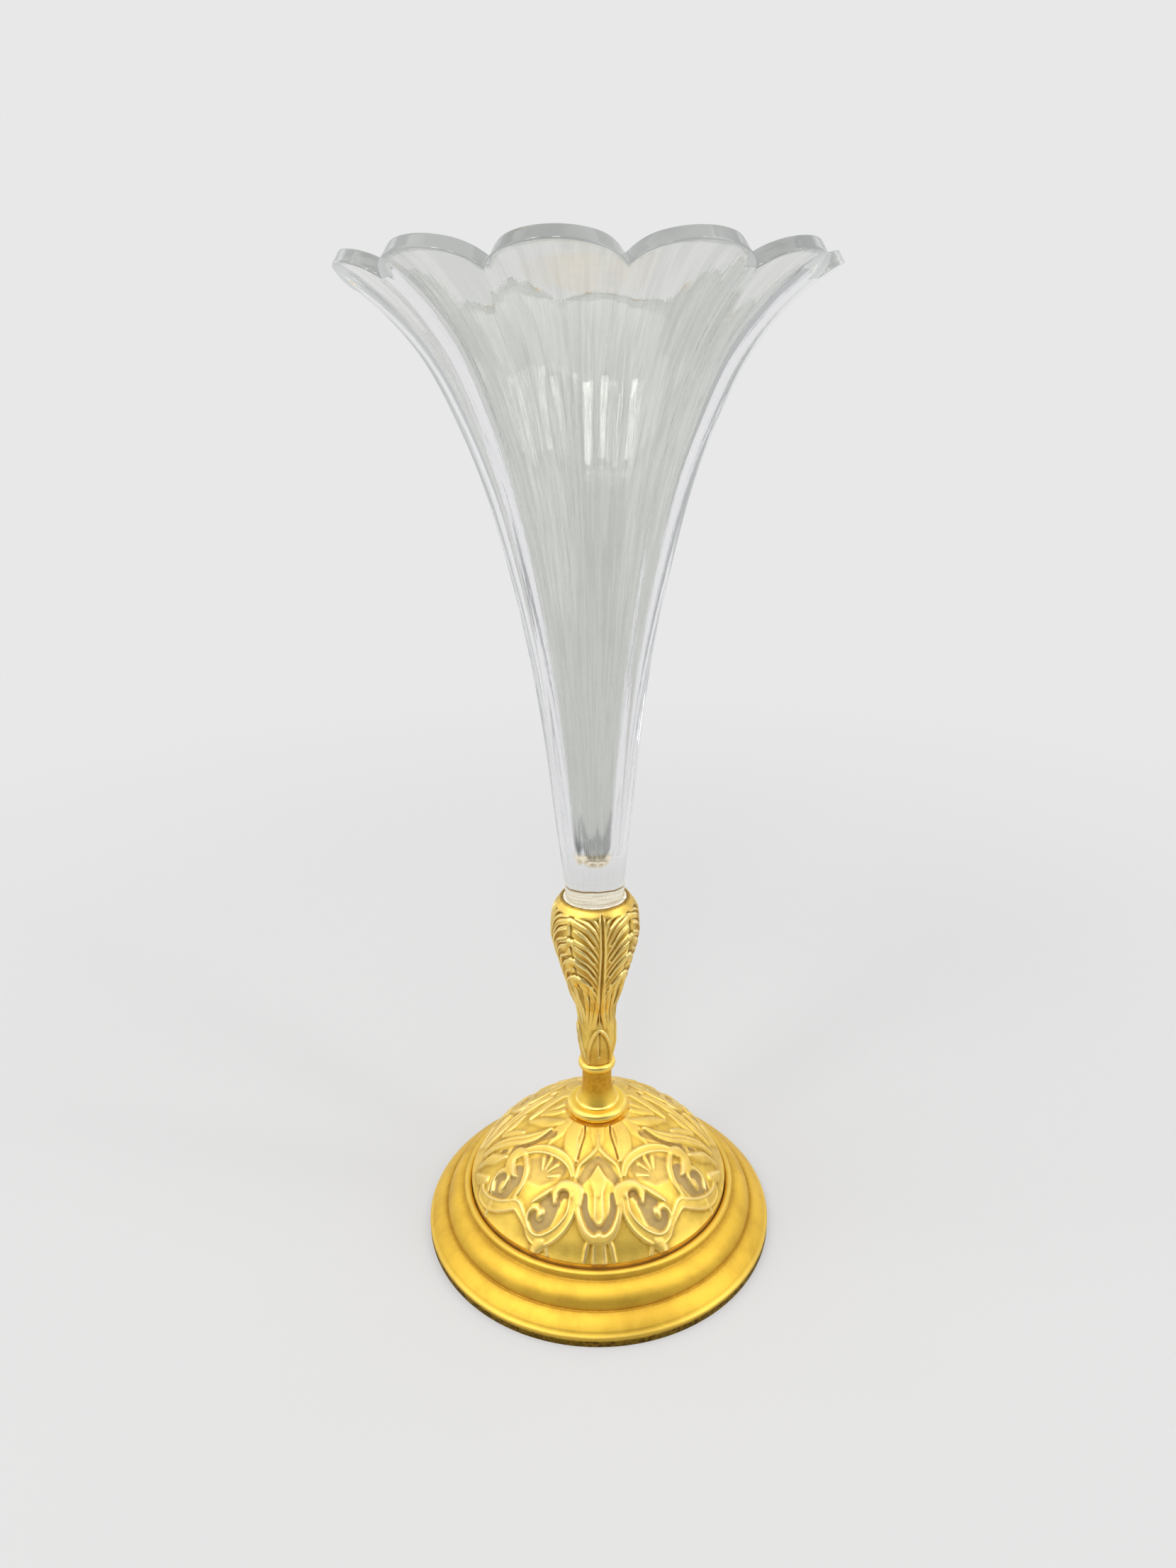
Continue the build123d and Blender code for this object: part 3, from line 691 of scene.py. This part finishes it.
def blurred(grid, size):
    # a box blur along both ways of a grid; the second way closes on itself
    out = grid
    for axis, mode in ((0, "edge"), (1, "wrap")):
        pad = [(0, 0), (0, 0)]
        pad[axis] = (size, size)
        total = np.cumsum(np.pad(out, pad, mode=mode), axis=axis)
        ahead = np.take(total, range(2 * size, total.shape[axis]), axis=axis)
        behind = np.take(total, range(0, total.shape[axis] - 2 * size), axis=axis)
        out = (ahead - behind) / (2 * size)
    return out


def reliefMasks(height, fine, wide):
    # what lies lower than its surroundings is a hollow, what stands higher a ridge; the gilt finish paints the
    # hollows darker, as patina and painted shade, and the ridges with a painted highlight
    low = blurred(blurred(height, wide), wide) - height
    sharp = height - blurred(height, fine)
    return np.clip(low / 0.45, 0, 1), np.clip(sharp / 0.10, 0, 1)


def offsetLine(line, depth):
    # the points of a line moved square to it, to its left
    run = np.gradient(line, axis=0)
    run /= np.hypot(run[:, 0], run[:, 1])[:, None]
    return line + depth * np.stack([-run[:, 1], run[:, 0]], 1)


def makeDome():
    p = dome
    turn = azimuths(p["columns"])
    foot, rise, seat, bore, bossAt = (p[k] for k in ("footRadius", "footHigh", "seatHigh", "boreRadius", "bossAt"))
    skirt = foot - p["wall"]
    width = foot - p["crownRadius"]
    points = [(p["crownRadius"] + width * out, rise + (collarLow - rise) * up) for out, up in p["shares"]][::-1]
    line = curveThrough(points, p["rows"])
    normal = offsetLine(line, -1.0) - line
    plan = carveDome(np.abs(line[:, :1] * np.sin(turn)), np.abs(line[:, :1] * np.cos(turn)))
    height = blurred(blurred(plan.height, 2), 1)
    # the hollows are darkened as patina and painted shade, the ridges get a painted highlight
    hollow, ridge = reliefMasks(height, 3, 8)
    raised = 0.2 * smoothStep(0.55, 0.95, height)      # the straps are a little paler than the field
    # the relief runs out at the foot and under the collar
    fade = smoothStep(0, 5, np.arange(p["rows"])) * smoothStep(p["crownRadius"], 12.2, line[:, 0])
    ground, hollow, height = (values * fade[:, None] for values in (np.maximum(plan.ground, raised), hollow, height))
    radial = line[:, :1] + normal[:, :1] * height
    level = line[:, 1:] + normal[:, 1:] * height

    inner = offsetLine(line, p["wall"])
    inner = inner[(inner[:, 0] < skirt) & (inner[:, 0] > p["padRadius"])][::-6]
    under = [(bore, collarLow), (bore, p["padLow"]), (p["padRadius"], p["padLow"])]
    under += [tuple(q) for q in inner] + [(skirt, inner[-1][1] - 1.5), (skirt, seat)]
    under += [(foot, seat), (foot, (seat + rise) / 2)]
    wide, tall = spread(np.array(under), p["columns"])
    grid = aroundAxis(np.vstack([radial, wide]), np.vstack([level, tall]), turn)

    def withUnderside(mask, value, edge):
        rest = np.full(wide.shape, value)
        rest[-2:] = edge
        return np.vstack([mask, rest])

    # the outer face of the dome's foot is painted paler with the dull colour, against the orange light bounced there
    # between dome and ring
    masks = {"ground": withUnderside(ground, 0.0, 0.6), "hollow": withUnderside(hollow, 0.9, 0.2),
             "ridge": withUnderside(ridge, 0.0, 0.0)}
    shell = skinOfRevolution("relief_dome_cast", grid, masks, closed=True)

    middle = offsetLine(line, p["wall"] / 2)[::-1]
    around = azimuths(32)
    outside, hole = p["bossRadius"], p["bossBore"]
    for place in np.radians(p["bossTurns"]):
        rows = []
        for radius, top in ((outside, False), (outside, True), (hole, True), (hole, False)):
            px = bossAt * math.sin(place) + radius * np.sin(around)
            py = -bossAt * math.cos(place) - radius * np.cos(around)
            cap = np.minimum(np.interp(np.hypot(px, py), middle[:, 0], middle[:, 1]), p["bossHigh"])
            rows.append(np.stack([px, py, cap if top else np.full(32, seat)], -1))
        masks = {"ground": np.zeros((4, 32)), "hollow": np.full((4, 32), 0.9), "ridge": np.zeros((4, 32))}
        boss = skinOfRevolution("boss", np.array(rows), masks, closed=True)
        with bpy.context.temp_override(active_object=shell, selected_editable_objects=[shell, boss]):
            bpy.ops.object.join()
    return shell


fit(makeDome(), castGilt, "gilt", "relief_dome")


# leaf socket

socket = {
    "turn": 10.0, "boreRadius": 11.0, "boreLow": 110.0, "rodRadius": 2.9, "rodHigh": 92.3, "lipRadius": 11.65,
    "rows": 270, "columns": 440, "carved": 1.35, "tallest": 1.35, "lipLow": 133.9, "boreRows": (128.0, 122.0, 116.0),
    # the outer line of the leaves: height, radius
    "outline": [(68.5, 6.3), (71.5, 6.75), (75.0, 7.35), (77.5, 7.6), (81.1, 7.35), (86.8, 7.25), (91.2, 7.65),
                (93.8, 8.6), (97.3, 9.8), (100.7, 10.6), (104.2, 11.6), (107.6, 12.6), (111.0, 13.4), (114.4, 14.4),
                (119.9, 15.55), (123.8, 15.55), (128.2, 15.2), (130.4, 14.5), (132.2, 13.5), (133.4, 12.5)],
    # the bud's outline: height, half width
    "bud": [(68.0, 4.7), (69.0, 4.75), (72.0, 4.8), (76.4, 4.3), (80.2, 3.1), (82.9, 1.5), (84.0, 0.0)],
}


def carveSocket(x, z, radius):
    # one half of a leaf with the bud below it: x is the way round from the midrib, z the height
    plan = Relief(x, z)
    leaf, sink = plan.leaf, plan.sink
    edge = radius * math.radians(45)     # where the next leaf begins
    heights, radii = zip(*socket["outline"])

    def reach(high):
        return float(np.interp(high, heights, radii)) * math.radians(45)

    plan.raiseTo(0.50 * (smoothStep(edge, edge - 1.0, x) * smoothStep(98, 106, z) * smoothStep(134.0, 133.2, z)))

    # four curled lobes on each margin, rising steeply from the midrib
    for tip in (107.5, 115.2, 123.0, 130.6):
        far = reach(min(tip, 130.5))
        bend = [(0.9, tip - 15), (1.6, tip - 10), (0.38 * far, tip - 5.6), (0.70 * far, tip - 2.6),
                (0.93 * far, tip - 0.8)]
        leaf(bend, [0.8, 1.5, 2.2, 2.4, 1.5], 0.98, base=0.2)
        sink([(0.78 * far, tip + 0.5), (1.02 * far, tip + 1.5)], [0.2, 0.6], 0.0, dull=0.0, edge=0.7)

    # fine veins that leave the midrib nearly upright and turn outwards
    for step in range(11):
        low = 91.5 + 3.3 * step
        far = reach(min(low + 12, 130.5))
        end = min(low + 12.5, 131.4)
        vein = [(0.8, low), (1.3, low + 3.2), (0.24 * far, low + 6.4), (0.50 * far, (low + 8 + end) / 2),
                (0.86 * far, end)]
        leaf(vein, [0.3, 0.5, 0.62, 0.55, 0.4], 1.06 + 0.12 * (step % 2), base=0.5)
        if step % 2:
            sink([(q + 0.1, h + 1.5) for q, h in vein[2:]], [0.25, 0.4, 0.2], -0.28, dull=0.0, edge=0.5)
    # brown film over the middle of the leaf and down the stem
    filmAndShade = smoothStep(0.80 * edge, 0.45 * edge, x) * smoothStep(131, 126, z) * smoothStep(68, 90, z)
    plan.ground = 0.75 * filmAndShade

    # the smooth band below the lip
    plan.raiseTo(1.05 * smoothStep(130.9, 131.9, z) * smoothStep(134.2, 133.4, z))

    # midrib: two lines beside a groove, deepest at the top
    leaf([(1.0, 96), (0.9, 108), (0.8, 120), (0.75, 131.5)], [0.6, 0.6, 0.5, 0.45], 1.28, base=0.3)
    sink([(0, 126.5), (0, 132.4)], [0.2, 0.34], -0.45, dull=0.0, edge=0.5)
    sink([(0, 86), (0, 100), (0, 112), (0, 126.5)], [0.4, 0.3, 0.2, 0.2], -0.55, dull=0.0, edge=0.5)

    # lower stem: long ridges that spread towards the buds
    leaf([(0.9, 104), (1.0, 96), (1.5, 90), (2.4, 85.0)], [0.6, 0.9, 1.0, 0.9], 1.15, base=0.5)
    leaf([(3.6, 104), (3.1, 96), (3.2, 90), (4.0, 84.0)], [0.9, 1.0, 0.9, 0.8], 0.98, base=0.45)
    leaf([(6.2, 103), (5.2, 96), (5.0, 90), (5.6, 83.0)], [1.0, 1.0, 0.8, 0.7], 0.9, base=0.45)

    # bud: a round-headed arch with a thick raised rim, which the ridge mask paints with a highlight, and a groove
    # down its middle
    foot = smoothStep(88.5, 84.5, z)
    plan.height = plan.height * (1 - foot) + 0.86 * foot
    inBud = smoothStep(0.4, -0.4, x - np.interp(z, *zip(*socket["bud"])))
    plan.height = plan.height * (1 - inBud) + 0.62 * inBud
    leaf([(4.7, 68.4), (4.8, 72.0), (4.3, 76.4), (3.1, 80.2), (1.5, 82.9), (0, 83.9)],
         [0.65, 0.7, 0.7, 0.7, 0.75, 0.8], 1.35, base=0.6)
    plan.ground = plan.ground * (1 - 0.6 * inBud) + 0.35 * inBud * smoothStep(84, 70, z)
    sink([(0, 83.0), (0, 79), (0, 73)], [0.3, 0.6, 0.25], -0.15, dull=0.0, edge=0.8)
    plan.height = plan.height * smoothStep(68.3, 69.0, z)
    return plan


def makeSocket():
    p = socket
    turn = azimuths(p["columns"])
    z = np.linspace(p["outline"][0][0], p["outline"][-1][0], p["rows"])
    path = curveThrough(p["outline"], 600)
    crest = np.interp(z, path[:, 0], path[:, 1])
    local = (np.degrees(turn) - p["turn"] + 45) % 90 - 45
    x = np.abs(np.radians(local))[None, :] * crest[:, None]
    level = np.repeat(z[:, None], p["columns"], 1)
    plan = carveSocket(x, level, crest[:, None])
    height = blurred(plan.height, 1)
    hollow, ridge = reliefMasks(height, 2, 6)
    lowPatinaAndShade = np.clip((0.35 - height) / 0.5, 0, 1)
    radial = crest[:, None] - p["carved"] + height * p["carved"] / p["tallest"]
    before = [(0.0, p["rodHigh"]), (p["rodRadius"], p["rodHigh"]), (p["rodRadius"], beadHigh)]
    before += [(p["outline"][0][1] - 1.6, beadHigh)]
    after = [(p["lipRadius"] + 0.25, p["lipLow"]), (p["lipRadius"], socketTop), (p["boreRadius"] + 0.05, socketTop)]
    after += [(p["boreRadius"], h) for h in (socketTop - 0.3, *p["boreRows"], p["boreLow"])]
    after += [(0.0, p["boreLow"])]
    ends = [spread(np.array(end), p["columns"]) for end in (before, after)]
    radial, level = (np.vstack([ends[0][k], shown, ends[1][k]]) for k, shown in enumerate((radial, level)))

    def withEnds(mask, value):
        return np.vstack([np.full(ends[0][0].shape, value), mask, np.full(ends[1][0].shape, value)])

    # painted shade: hollows and the lowest ground are darkened as patina and painted shade, the ridges get a painted
    # highlight, and the end rows, the lip and the bore among them, are darkened too
    masks = {"ground": withEnds(plan.ground * (1 - ridge), 0.0), "ridge": withEnds(ridge, 0.0),
             "hollow": withEnds(np.maximum(hollow, lowPatinaAndShade * 0.8), 0.7)}
    return skinOfRevolution("leaf_socket_cast", aroundAxis(radial, level, turn), masks)


fit(makeSocket(), leafGilt, "gilt", "leaf_socket")


# crystal trumpet

trumpet = {
    "panels": 12, "turn": 23.0, "columnsEach": 32, "rows": 150, "innerRows": 130, "bowlRows": 11,
    "toeLow": 112.0, "toe": [(0.0, 0.0), (9.1, 0.0), (9.45, 0.15)],
    # the outside, up to the tip of a lobe: radius, height; one more point gives the line its way at the tip
    "side": [(9.6, 112.6), (9.8, 120.0), (10.1, 134.2), (10.4, 140.0), (11.3, 151.0), (12.5, 161.6), (15.3, 190.0),
             (19.2, 218.4), (24.8, 246.7), (30.6, 269.5), (37.6, 288.4), (45.0, 303.5), (53.9, 314.8), (63.4, 323.0)],
    "tip": (70.15, 327.0), "beyond": (78.6, 331.9),
    "wallFoot": 6.4, "wallRim": 3.75, "scallop": 9.4, "scallopCurve": 0.85, "bendReach": 42.0,
    "bowlLow": 146.6, "bowlHigh": 156.6, "panelFrom": 138.0, "panelFull": 152.0, "ridgeSoft": 0.0075, "rimSoft": 0.35,
    "rimEdge": [(0.55, 0.098), (0.22, 0.364), (0.0, 1.05)],
    "residueLow": 148.6, "residueMiddle": 153.6, "residueHigh": 166.0, "teeth": 56,
}


def makeTrumpet():
    p = trumpet
    count = p["panels"] * p["columnsEach"]
    step = 360 / p["panels"]
    # columns stand closer together at the ridges
    u = (np.arange(p["columnsEach"]) + 0.5) / p["columnsEach"] * 2 - 1
    u = np.sign(u) * (1 - (1 - np.abs(u)) ** 1.35)
    off = np.concatenate([u * step / 2 + k * step for k in range(p["panels"])])
    local = np.tile(u * step / 2, p["panels"])
    turn = np.radians(off + p["turn"])
    side = curveThrough(p["side"] + [p["tip"], p["beyond"]], 3000)
    side = side[:np.argmax(side[:, 0] > p["tip"][0] + 0.01)]
    length = np.concatenate([[0], np.cumsum(np.hypot(*np.diff(side, axis=0).T))])
    inward = offsetLine(side, 1.0) - side
    total = length[-1]
    # the panels' flat faces, with their ridges a little rounded
    ridges = np.exp(-((step / 2 - np.abs(local)) / 1.1) ** 2)
    secant = 1 / np.cos(np.radians(local)) - p["ridgeSoft"] * ridges
    c = p["scallopCurve"]
    dip = (1 - np.sqrt(1 - (c * np.abs(local) / (step / 2)) ** 2)) / (1 - math.sqrt(1 - c * c))
    top = total - p["scallop"] * dip
    soft = p["rimSoft"]

    def place(station, depth, share):
        # a point of the wall, from its way along the outside and its depth; share 1 is the panelled face
        r, z, nr, nz = (np.interp(station, length, v) for v in (side[:, 0], side[:, 1], inward[:, 0], inward[:, 1]))
        faceted = smoothStep(p["panelFrom"], p["panelFull"], z) * share
        return (r + depth * nr) * (1 + (secant - 1) * faceted), z + depth * nz

    def bent(base):
        # near the mouth the rows follow the scallops
        return np.minimum(base + (top - total) * smoothStep(total - p["bendReach"], total, base), top - soft)

    def wallAt(station):
        return np.interp(station, [0, total], [p["wallFoot"], p["wallRim"]])

    rows = [(np.full(count, r), np.full(count, p["toeLow"] + up)) for r, up in p["toe"]]
    rows += [place(bent(k / p["rows"] * (total - soft)), 0.0, 1.0) for k in range(p["rows"] + 1)]
    wall = wallAt(top)
    rimStart = len(rows)
    rows += [place(top - soft * down, soft * deep, 1.0) for down, deep in p["rimEdge"]]
    rows += [place(top, wall * f, 1 - f * 0.9) for f in (0.2, 0.4, 0.6, 0.8)]
    rows += [place(top - soft * down, wall - soft * deep, 0.08) for down, deep in p["rimEdge"][::-1]]
    rimEnd = len(rows) - 1
    # inside, round, down to the bowl
    floorStart = np.interp(p["bowlHigh"], side[:, 1], length)
    for k in range(p["innerRows"]):
        station = bent((total - soft) + (floorStart - total + soft) * (k / (p["innerRows"] - 1)))
        rows.append(place(station, wallAt(station), 0.0))
    bowlRadius, bowlTop = rows[-1][0][0], rows[-1][1][0]
    for a in np.arange(1, p["bowlRows"]) / p["bowlRows"] * math.pi / 2:
        low = bowlTop - (bowlTop - p["bowlLow"]) * math.sin(a)
        rows.append((np.full(count, bowlRadius * math.cos(a)), np.full(count, low)))
    rows.append((np.zeros(count), np.full(count, p["bowlLow"])))
    radial, level = (np.array(values) for values in zip(*rows))
    index = np.arange(len(rows))[:, None]
    rim = np.clip((index - rimStart + 2) / 4, 0, 1) * np.clip((rimEnd + 1 - index) / 3, 0, 1) * np.ones(count)
    # the comb of residue: teeth round the bottom of the cavity, higher at the two sides
    comb = 0.5 + 0.75 * np.sin(p["teeth"] * turn + 1.3 * np.sin(5 * turn)) + 0.25 * np.sin(17 * turn + 0.7)
    comb = np.clip(comb, 0, 1)
    sides = np.abs(np.sin(turn - 0.1)) ** 3
    upper = p["residueMiddle"] + (p["residueHigh"] - p["residueMiddle"]) * sides * (0.55 + 0.45 * comb)
    lower = p["residueLow"] + 2.2 * (1 - comb)
    residue = smoothStep(upper + 1.5, upper - 1.0, level) * smoothStep(lower - 1.0, lower + 1.0, level)
    residue = (index > rimEnd) * residue * (0.2 + 0.8 * comb)
    # painted shade: the solid foot takes a part of the inside's grey, more towards its bottom
    inside = np.maximum(index > rimEnd, 0.4 * smoothStep(152, 146, level))
    masks = {"residue": residue, "rim": rim, "inside": inside}
    return skinOfRevolution("crystal_trumpet", aroundAxis(radial, level, turn), masks)


fit(makeTrumpet(), crystal, "crystal", "glass_trumpet")


# plaster bed, which holds the toe of the glass without a gap

bed = {
    "outRadius": 10.85, "low": 110.0, "floor": 112.05, "footIn": 9.5, "lipIn": 10.0, "columns": 192, "lump": 0.12,
}


def makeBed():
    p = bed
    heights = np.linspace(p["floor"], socketTop - 0.25, 26)
    widening = p["lipIn"] - p["footIn"]
    inside = [(p["footIn"] + widening * (h - p["floor"]) / (socketTop - p["floor"]), h) for h in heights]
    section = [(0.0, p["floor"])] + inside + [(p["lipIn"] + 0.25, socketTop - 0.02)]
    section += [(p["outRadius"] - 0.2, socketTop - 0.06), (p["outRadius"], socketTop - 0.4)]
    section += [(p["outRadius"], h) for h in heights[::-3]] + [(p["outRadius"], p["low"]), (0.0, p["low"])]
    turn = azimuths(p["columns"])
    radial, level = spread(np.array(section)[::-1], p["columns"])
    # the trowelled top edge is a little uneven
    wave = 0.5 * np.sin(3 * turn + 0.6) + 0.3 * np.sin(7 * turn + 2.0) + 0.2 * np.sin(13 * turn)
    level = level + p["lump"] * (wave - 1) * (level > socketTop - 0.3)
    return skinOfRevolution("plaster_bed", aroundAxis(radial, level, turn))


fit(makeBed(), plaster, "plaster", "glass_bedding")


# the hardware under the dome keeps its CAD shape

for name in ("tie_rod", "rod_washer", "rod_nut", "base_screws"):
    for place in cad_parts[name].material_slots:
        place.material = steel
print("hardware dressed")


# floor, background, light and camera

# what lamps of one kind share: aim, width, height, watts, colour
pane = ((0, 0, 0.27), 0.07, 0.56, 1.2, (1.0, 1.0, 1.0))
slit = ((0, 0, 0.25), 0.05, 1.30, 1.6, (1.0, 1.0, 1.0))
strip = ((0, 0, 0.22), 0.30, 1.20, 1.0, (0.93, 0.93, 1.0))
studio = {
    "backdrop": colour(232, 232, 232), "floorLit": colour(214, 214, 214), "room": colour(74, 68, 58),
    "roomThrough": colour(190, 192, 190), "worldLight": 0.62,
    "floorHalf": 7.0, "floorLines": 9, "near": 0.16, "far": 0.75, "steady": 0.35,
    "eye": (-0.0018, -0.325, 0.297), "lens": 24.27, "tilt": 69.36, "roll": -0.8,
    # each lamp: place, aim, width, height, watts, colour
    "lamps": {
        "windowLeft": ((-1.25, -0.45, 1.05), (0, 0, 0.12), 1.30, 1.50, 8.5, (1.0, 0.99, 0.97)),
        "windowRight": ((1.25, -0.45, 0.95), (0, 0, 0.10), 1.00, 1.30, 4.5, (0.97, 0.98, 1.0)),
        "ceiling": ((0.05, -0.10, 1.80), (0, 0, 0.05), 1.90, 1.60, 9.0, (1.0, 0.99, 0.97)),
        "paneA": ((-0.10, -1.05, 1.33), *pane),
        "paneB": ((-0.21, -1.04, 1.33), *pane),
        "paneC": ((-0.68, -0.82, 1.33), *pane),
        "paneD": ((-0.78, -0.73, 1.33), *pane),
        "slitA": ((1.25, -0.30, 1.00), *slit),
        "slitB": ((1.05, -0.75, 1.00), *slit),
        "stripLeft": ((-0.95, 0.85, 0.45), *strip),
        "stripRight": ((0.95, 0.85, 0.45), *strip),
    },
}


def emptyTree(owner):
    owner.use_nodes = True
    owner.node_tree.nodes.clear()
    return owner.node_tree


def seenBy(tree):
    # the light path, and 1 where the camera, a reflection or the glass looks, 0 where light only falls
    path = addNode(tree, "LightPath").outputs
    seen = mathNode(tree, "ADD", path["Is Camera Ray"], path["Is Glossy Ray"], clamp=True)
    return path, mathNode(tree, "ADD", seen, path["Is Transmission Ray"], clamp=True)


def makeFloor():
    lines, half = studio["floorLines"], studio["floorHalf"] / mm
    xs, ys = np.meshgrid(*[np.linspace(-half, half, lines)] * 2)
    verts = np.stack([xs.ravel(), ys.ravel(), np.full(xs.size, -0.05)], 1)
    index = np.arange(lines * lines).reshape(lines, lines)
    corners = index[:-1, :-1], index[:-1, 1:], index[1:, 1:], index[1:, :-1]
    floor = makeMesh("floor", verts, [np.stack([corner.ravel() for corner in corners], 1)])
    material = bpy.data.materials.new("paleFloor")
    tree = emptyTree(material)
    away = addNode(tree, "VectorMath", {0: objectPlace(tree)}, operation="LENGTH").outputs[1]
    steady = mapped(tree, away, studio["near"], studio["far"], studio["steady"], 1.0)
    plain = times(tree, seenBy(tree)[1], steady)
    lit = addNode(tree, "BsdfDiffuse", {"Color": studio["floorLit"]})
    own = addNode(tree, "Emission", {"Color": studio["backdrop"], "Strength": 1.0})
    mixed = addNode(tree, "MixShader", {0: plain, 1: lit.outputs[0], 2: own.outputs[0]})
    addNode(tree, "OutputMaterial", {"Surface": mixed.outputs[0]})
    floor.data.materials.append(material)


def makeWorld():
    # the background is the floor's own colour; metal and glass also see a darker room in front of the vase
    world = bpy.data.worlds.new("studio")
    bpy.context.scene.world = world
    tree = emptyTree(world)
    way = parted(tree, addNode(tree, "TexCoord").outputs["Generated"])
    front = mapped(tree, way[1], 0.15, -0.75)
    above = mapped(tree, way[2], 0.35, 0.95)
    dark = times(tree, front, mathNode(tree, "SUBTRACT", 1.0, above))
    path, seen = seenBy(tree)
    through = times(tree, dark, path["Is Transmission Ray"])
    room = mixColour(tree, through, studio["backdrop"], studio["roomThrough"])
    direct = mathNode(tree, "LESS_THAN", path["Transmission Depth"], 0.5)
    mirrored = times(tree, dark, times(tree, direct, path["Is Glossy Ray"]))
    room = mixColour(tree, mirrored, room, studio["room"])
    own = addNode(tree, "Background", {"Color": room, "Strength": 1.0})
    light = addNode(tree, "Background", {"Color": studio["backdrop"], "Strength": studio["worldLight"]})
    mixed = addNode(tree, "MixShader", {0: seen, 1: light.outputs[0], 2: own.outputs[0]})
    addNode(tree, "OutputWorld", {"Surface": mixed.outputs[0]})


def addLamps():
    for name, (place, aim, width, height, watts, tint) in studio["lamps"].items():
        lamp = bpy.data.lights.new(name, "AREA")
        lamp.shape = "RECTANGLE"
        lamp.size, lamp.size_y, lamp.energy, lamp.color = width, height, watts, tint
        holder = putInScene(name, lamp)
        holder.location = place
        holder.rotation_euler = (Vector(aim) - Vector(place)).to_track_quat("-Z", "Y").to_euler()


def addCamera():
    eye = bpy.data.cameras.new("eye")
    eye.sensor_width, eye.lens, eye.clip_start = 36.0, studio["lens"], 0.01
    holder = putInScene("eye", eye)
    holder.location = studio["eye"]
    tilt = Matrix.Rotation(math.radians(studio["tilt"]), 3, "X")
    roll = Matrix.Rotation(math.radians(studio["roll"]), 3, "Z")
    holder.rotation_euler = (tilt @ roll).to_euler()
    bpy.context.scene.camera = holder


makeFloor()
makeWorld()
addLamps()
addCamera()
bpy.context.scene.view_settings.view_transform = "Standard"
print("floor, light and camera set")

bpy.context.view_layer.update()
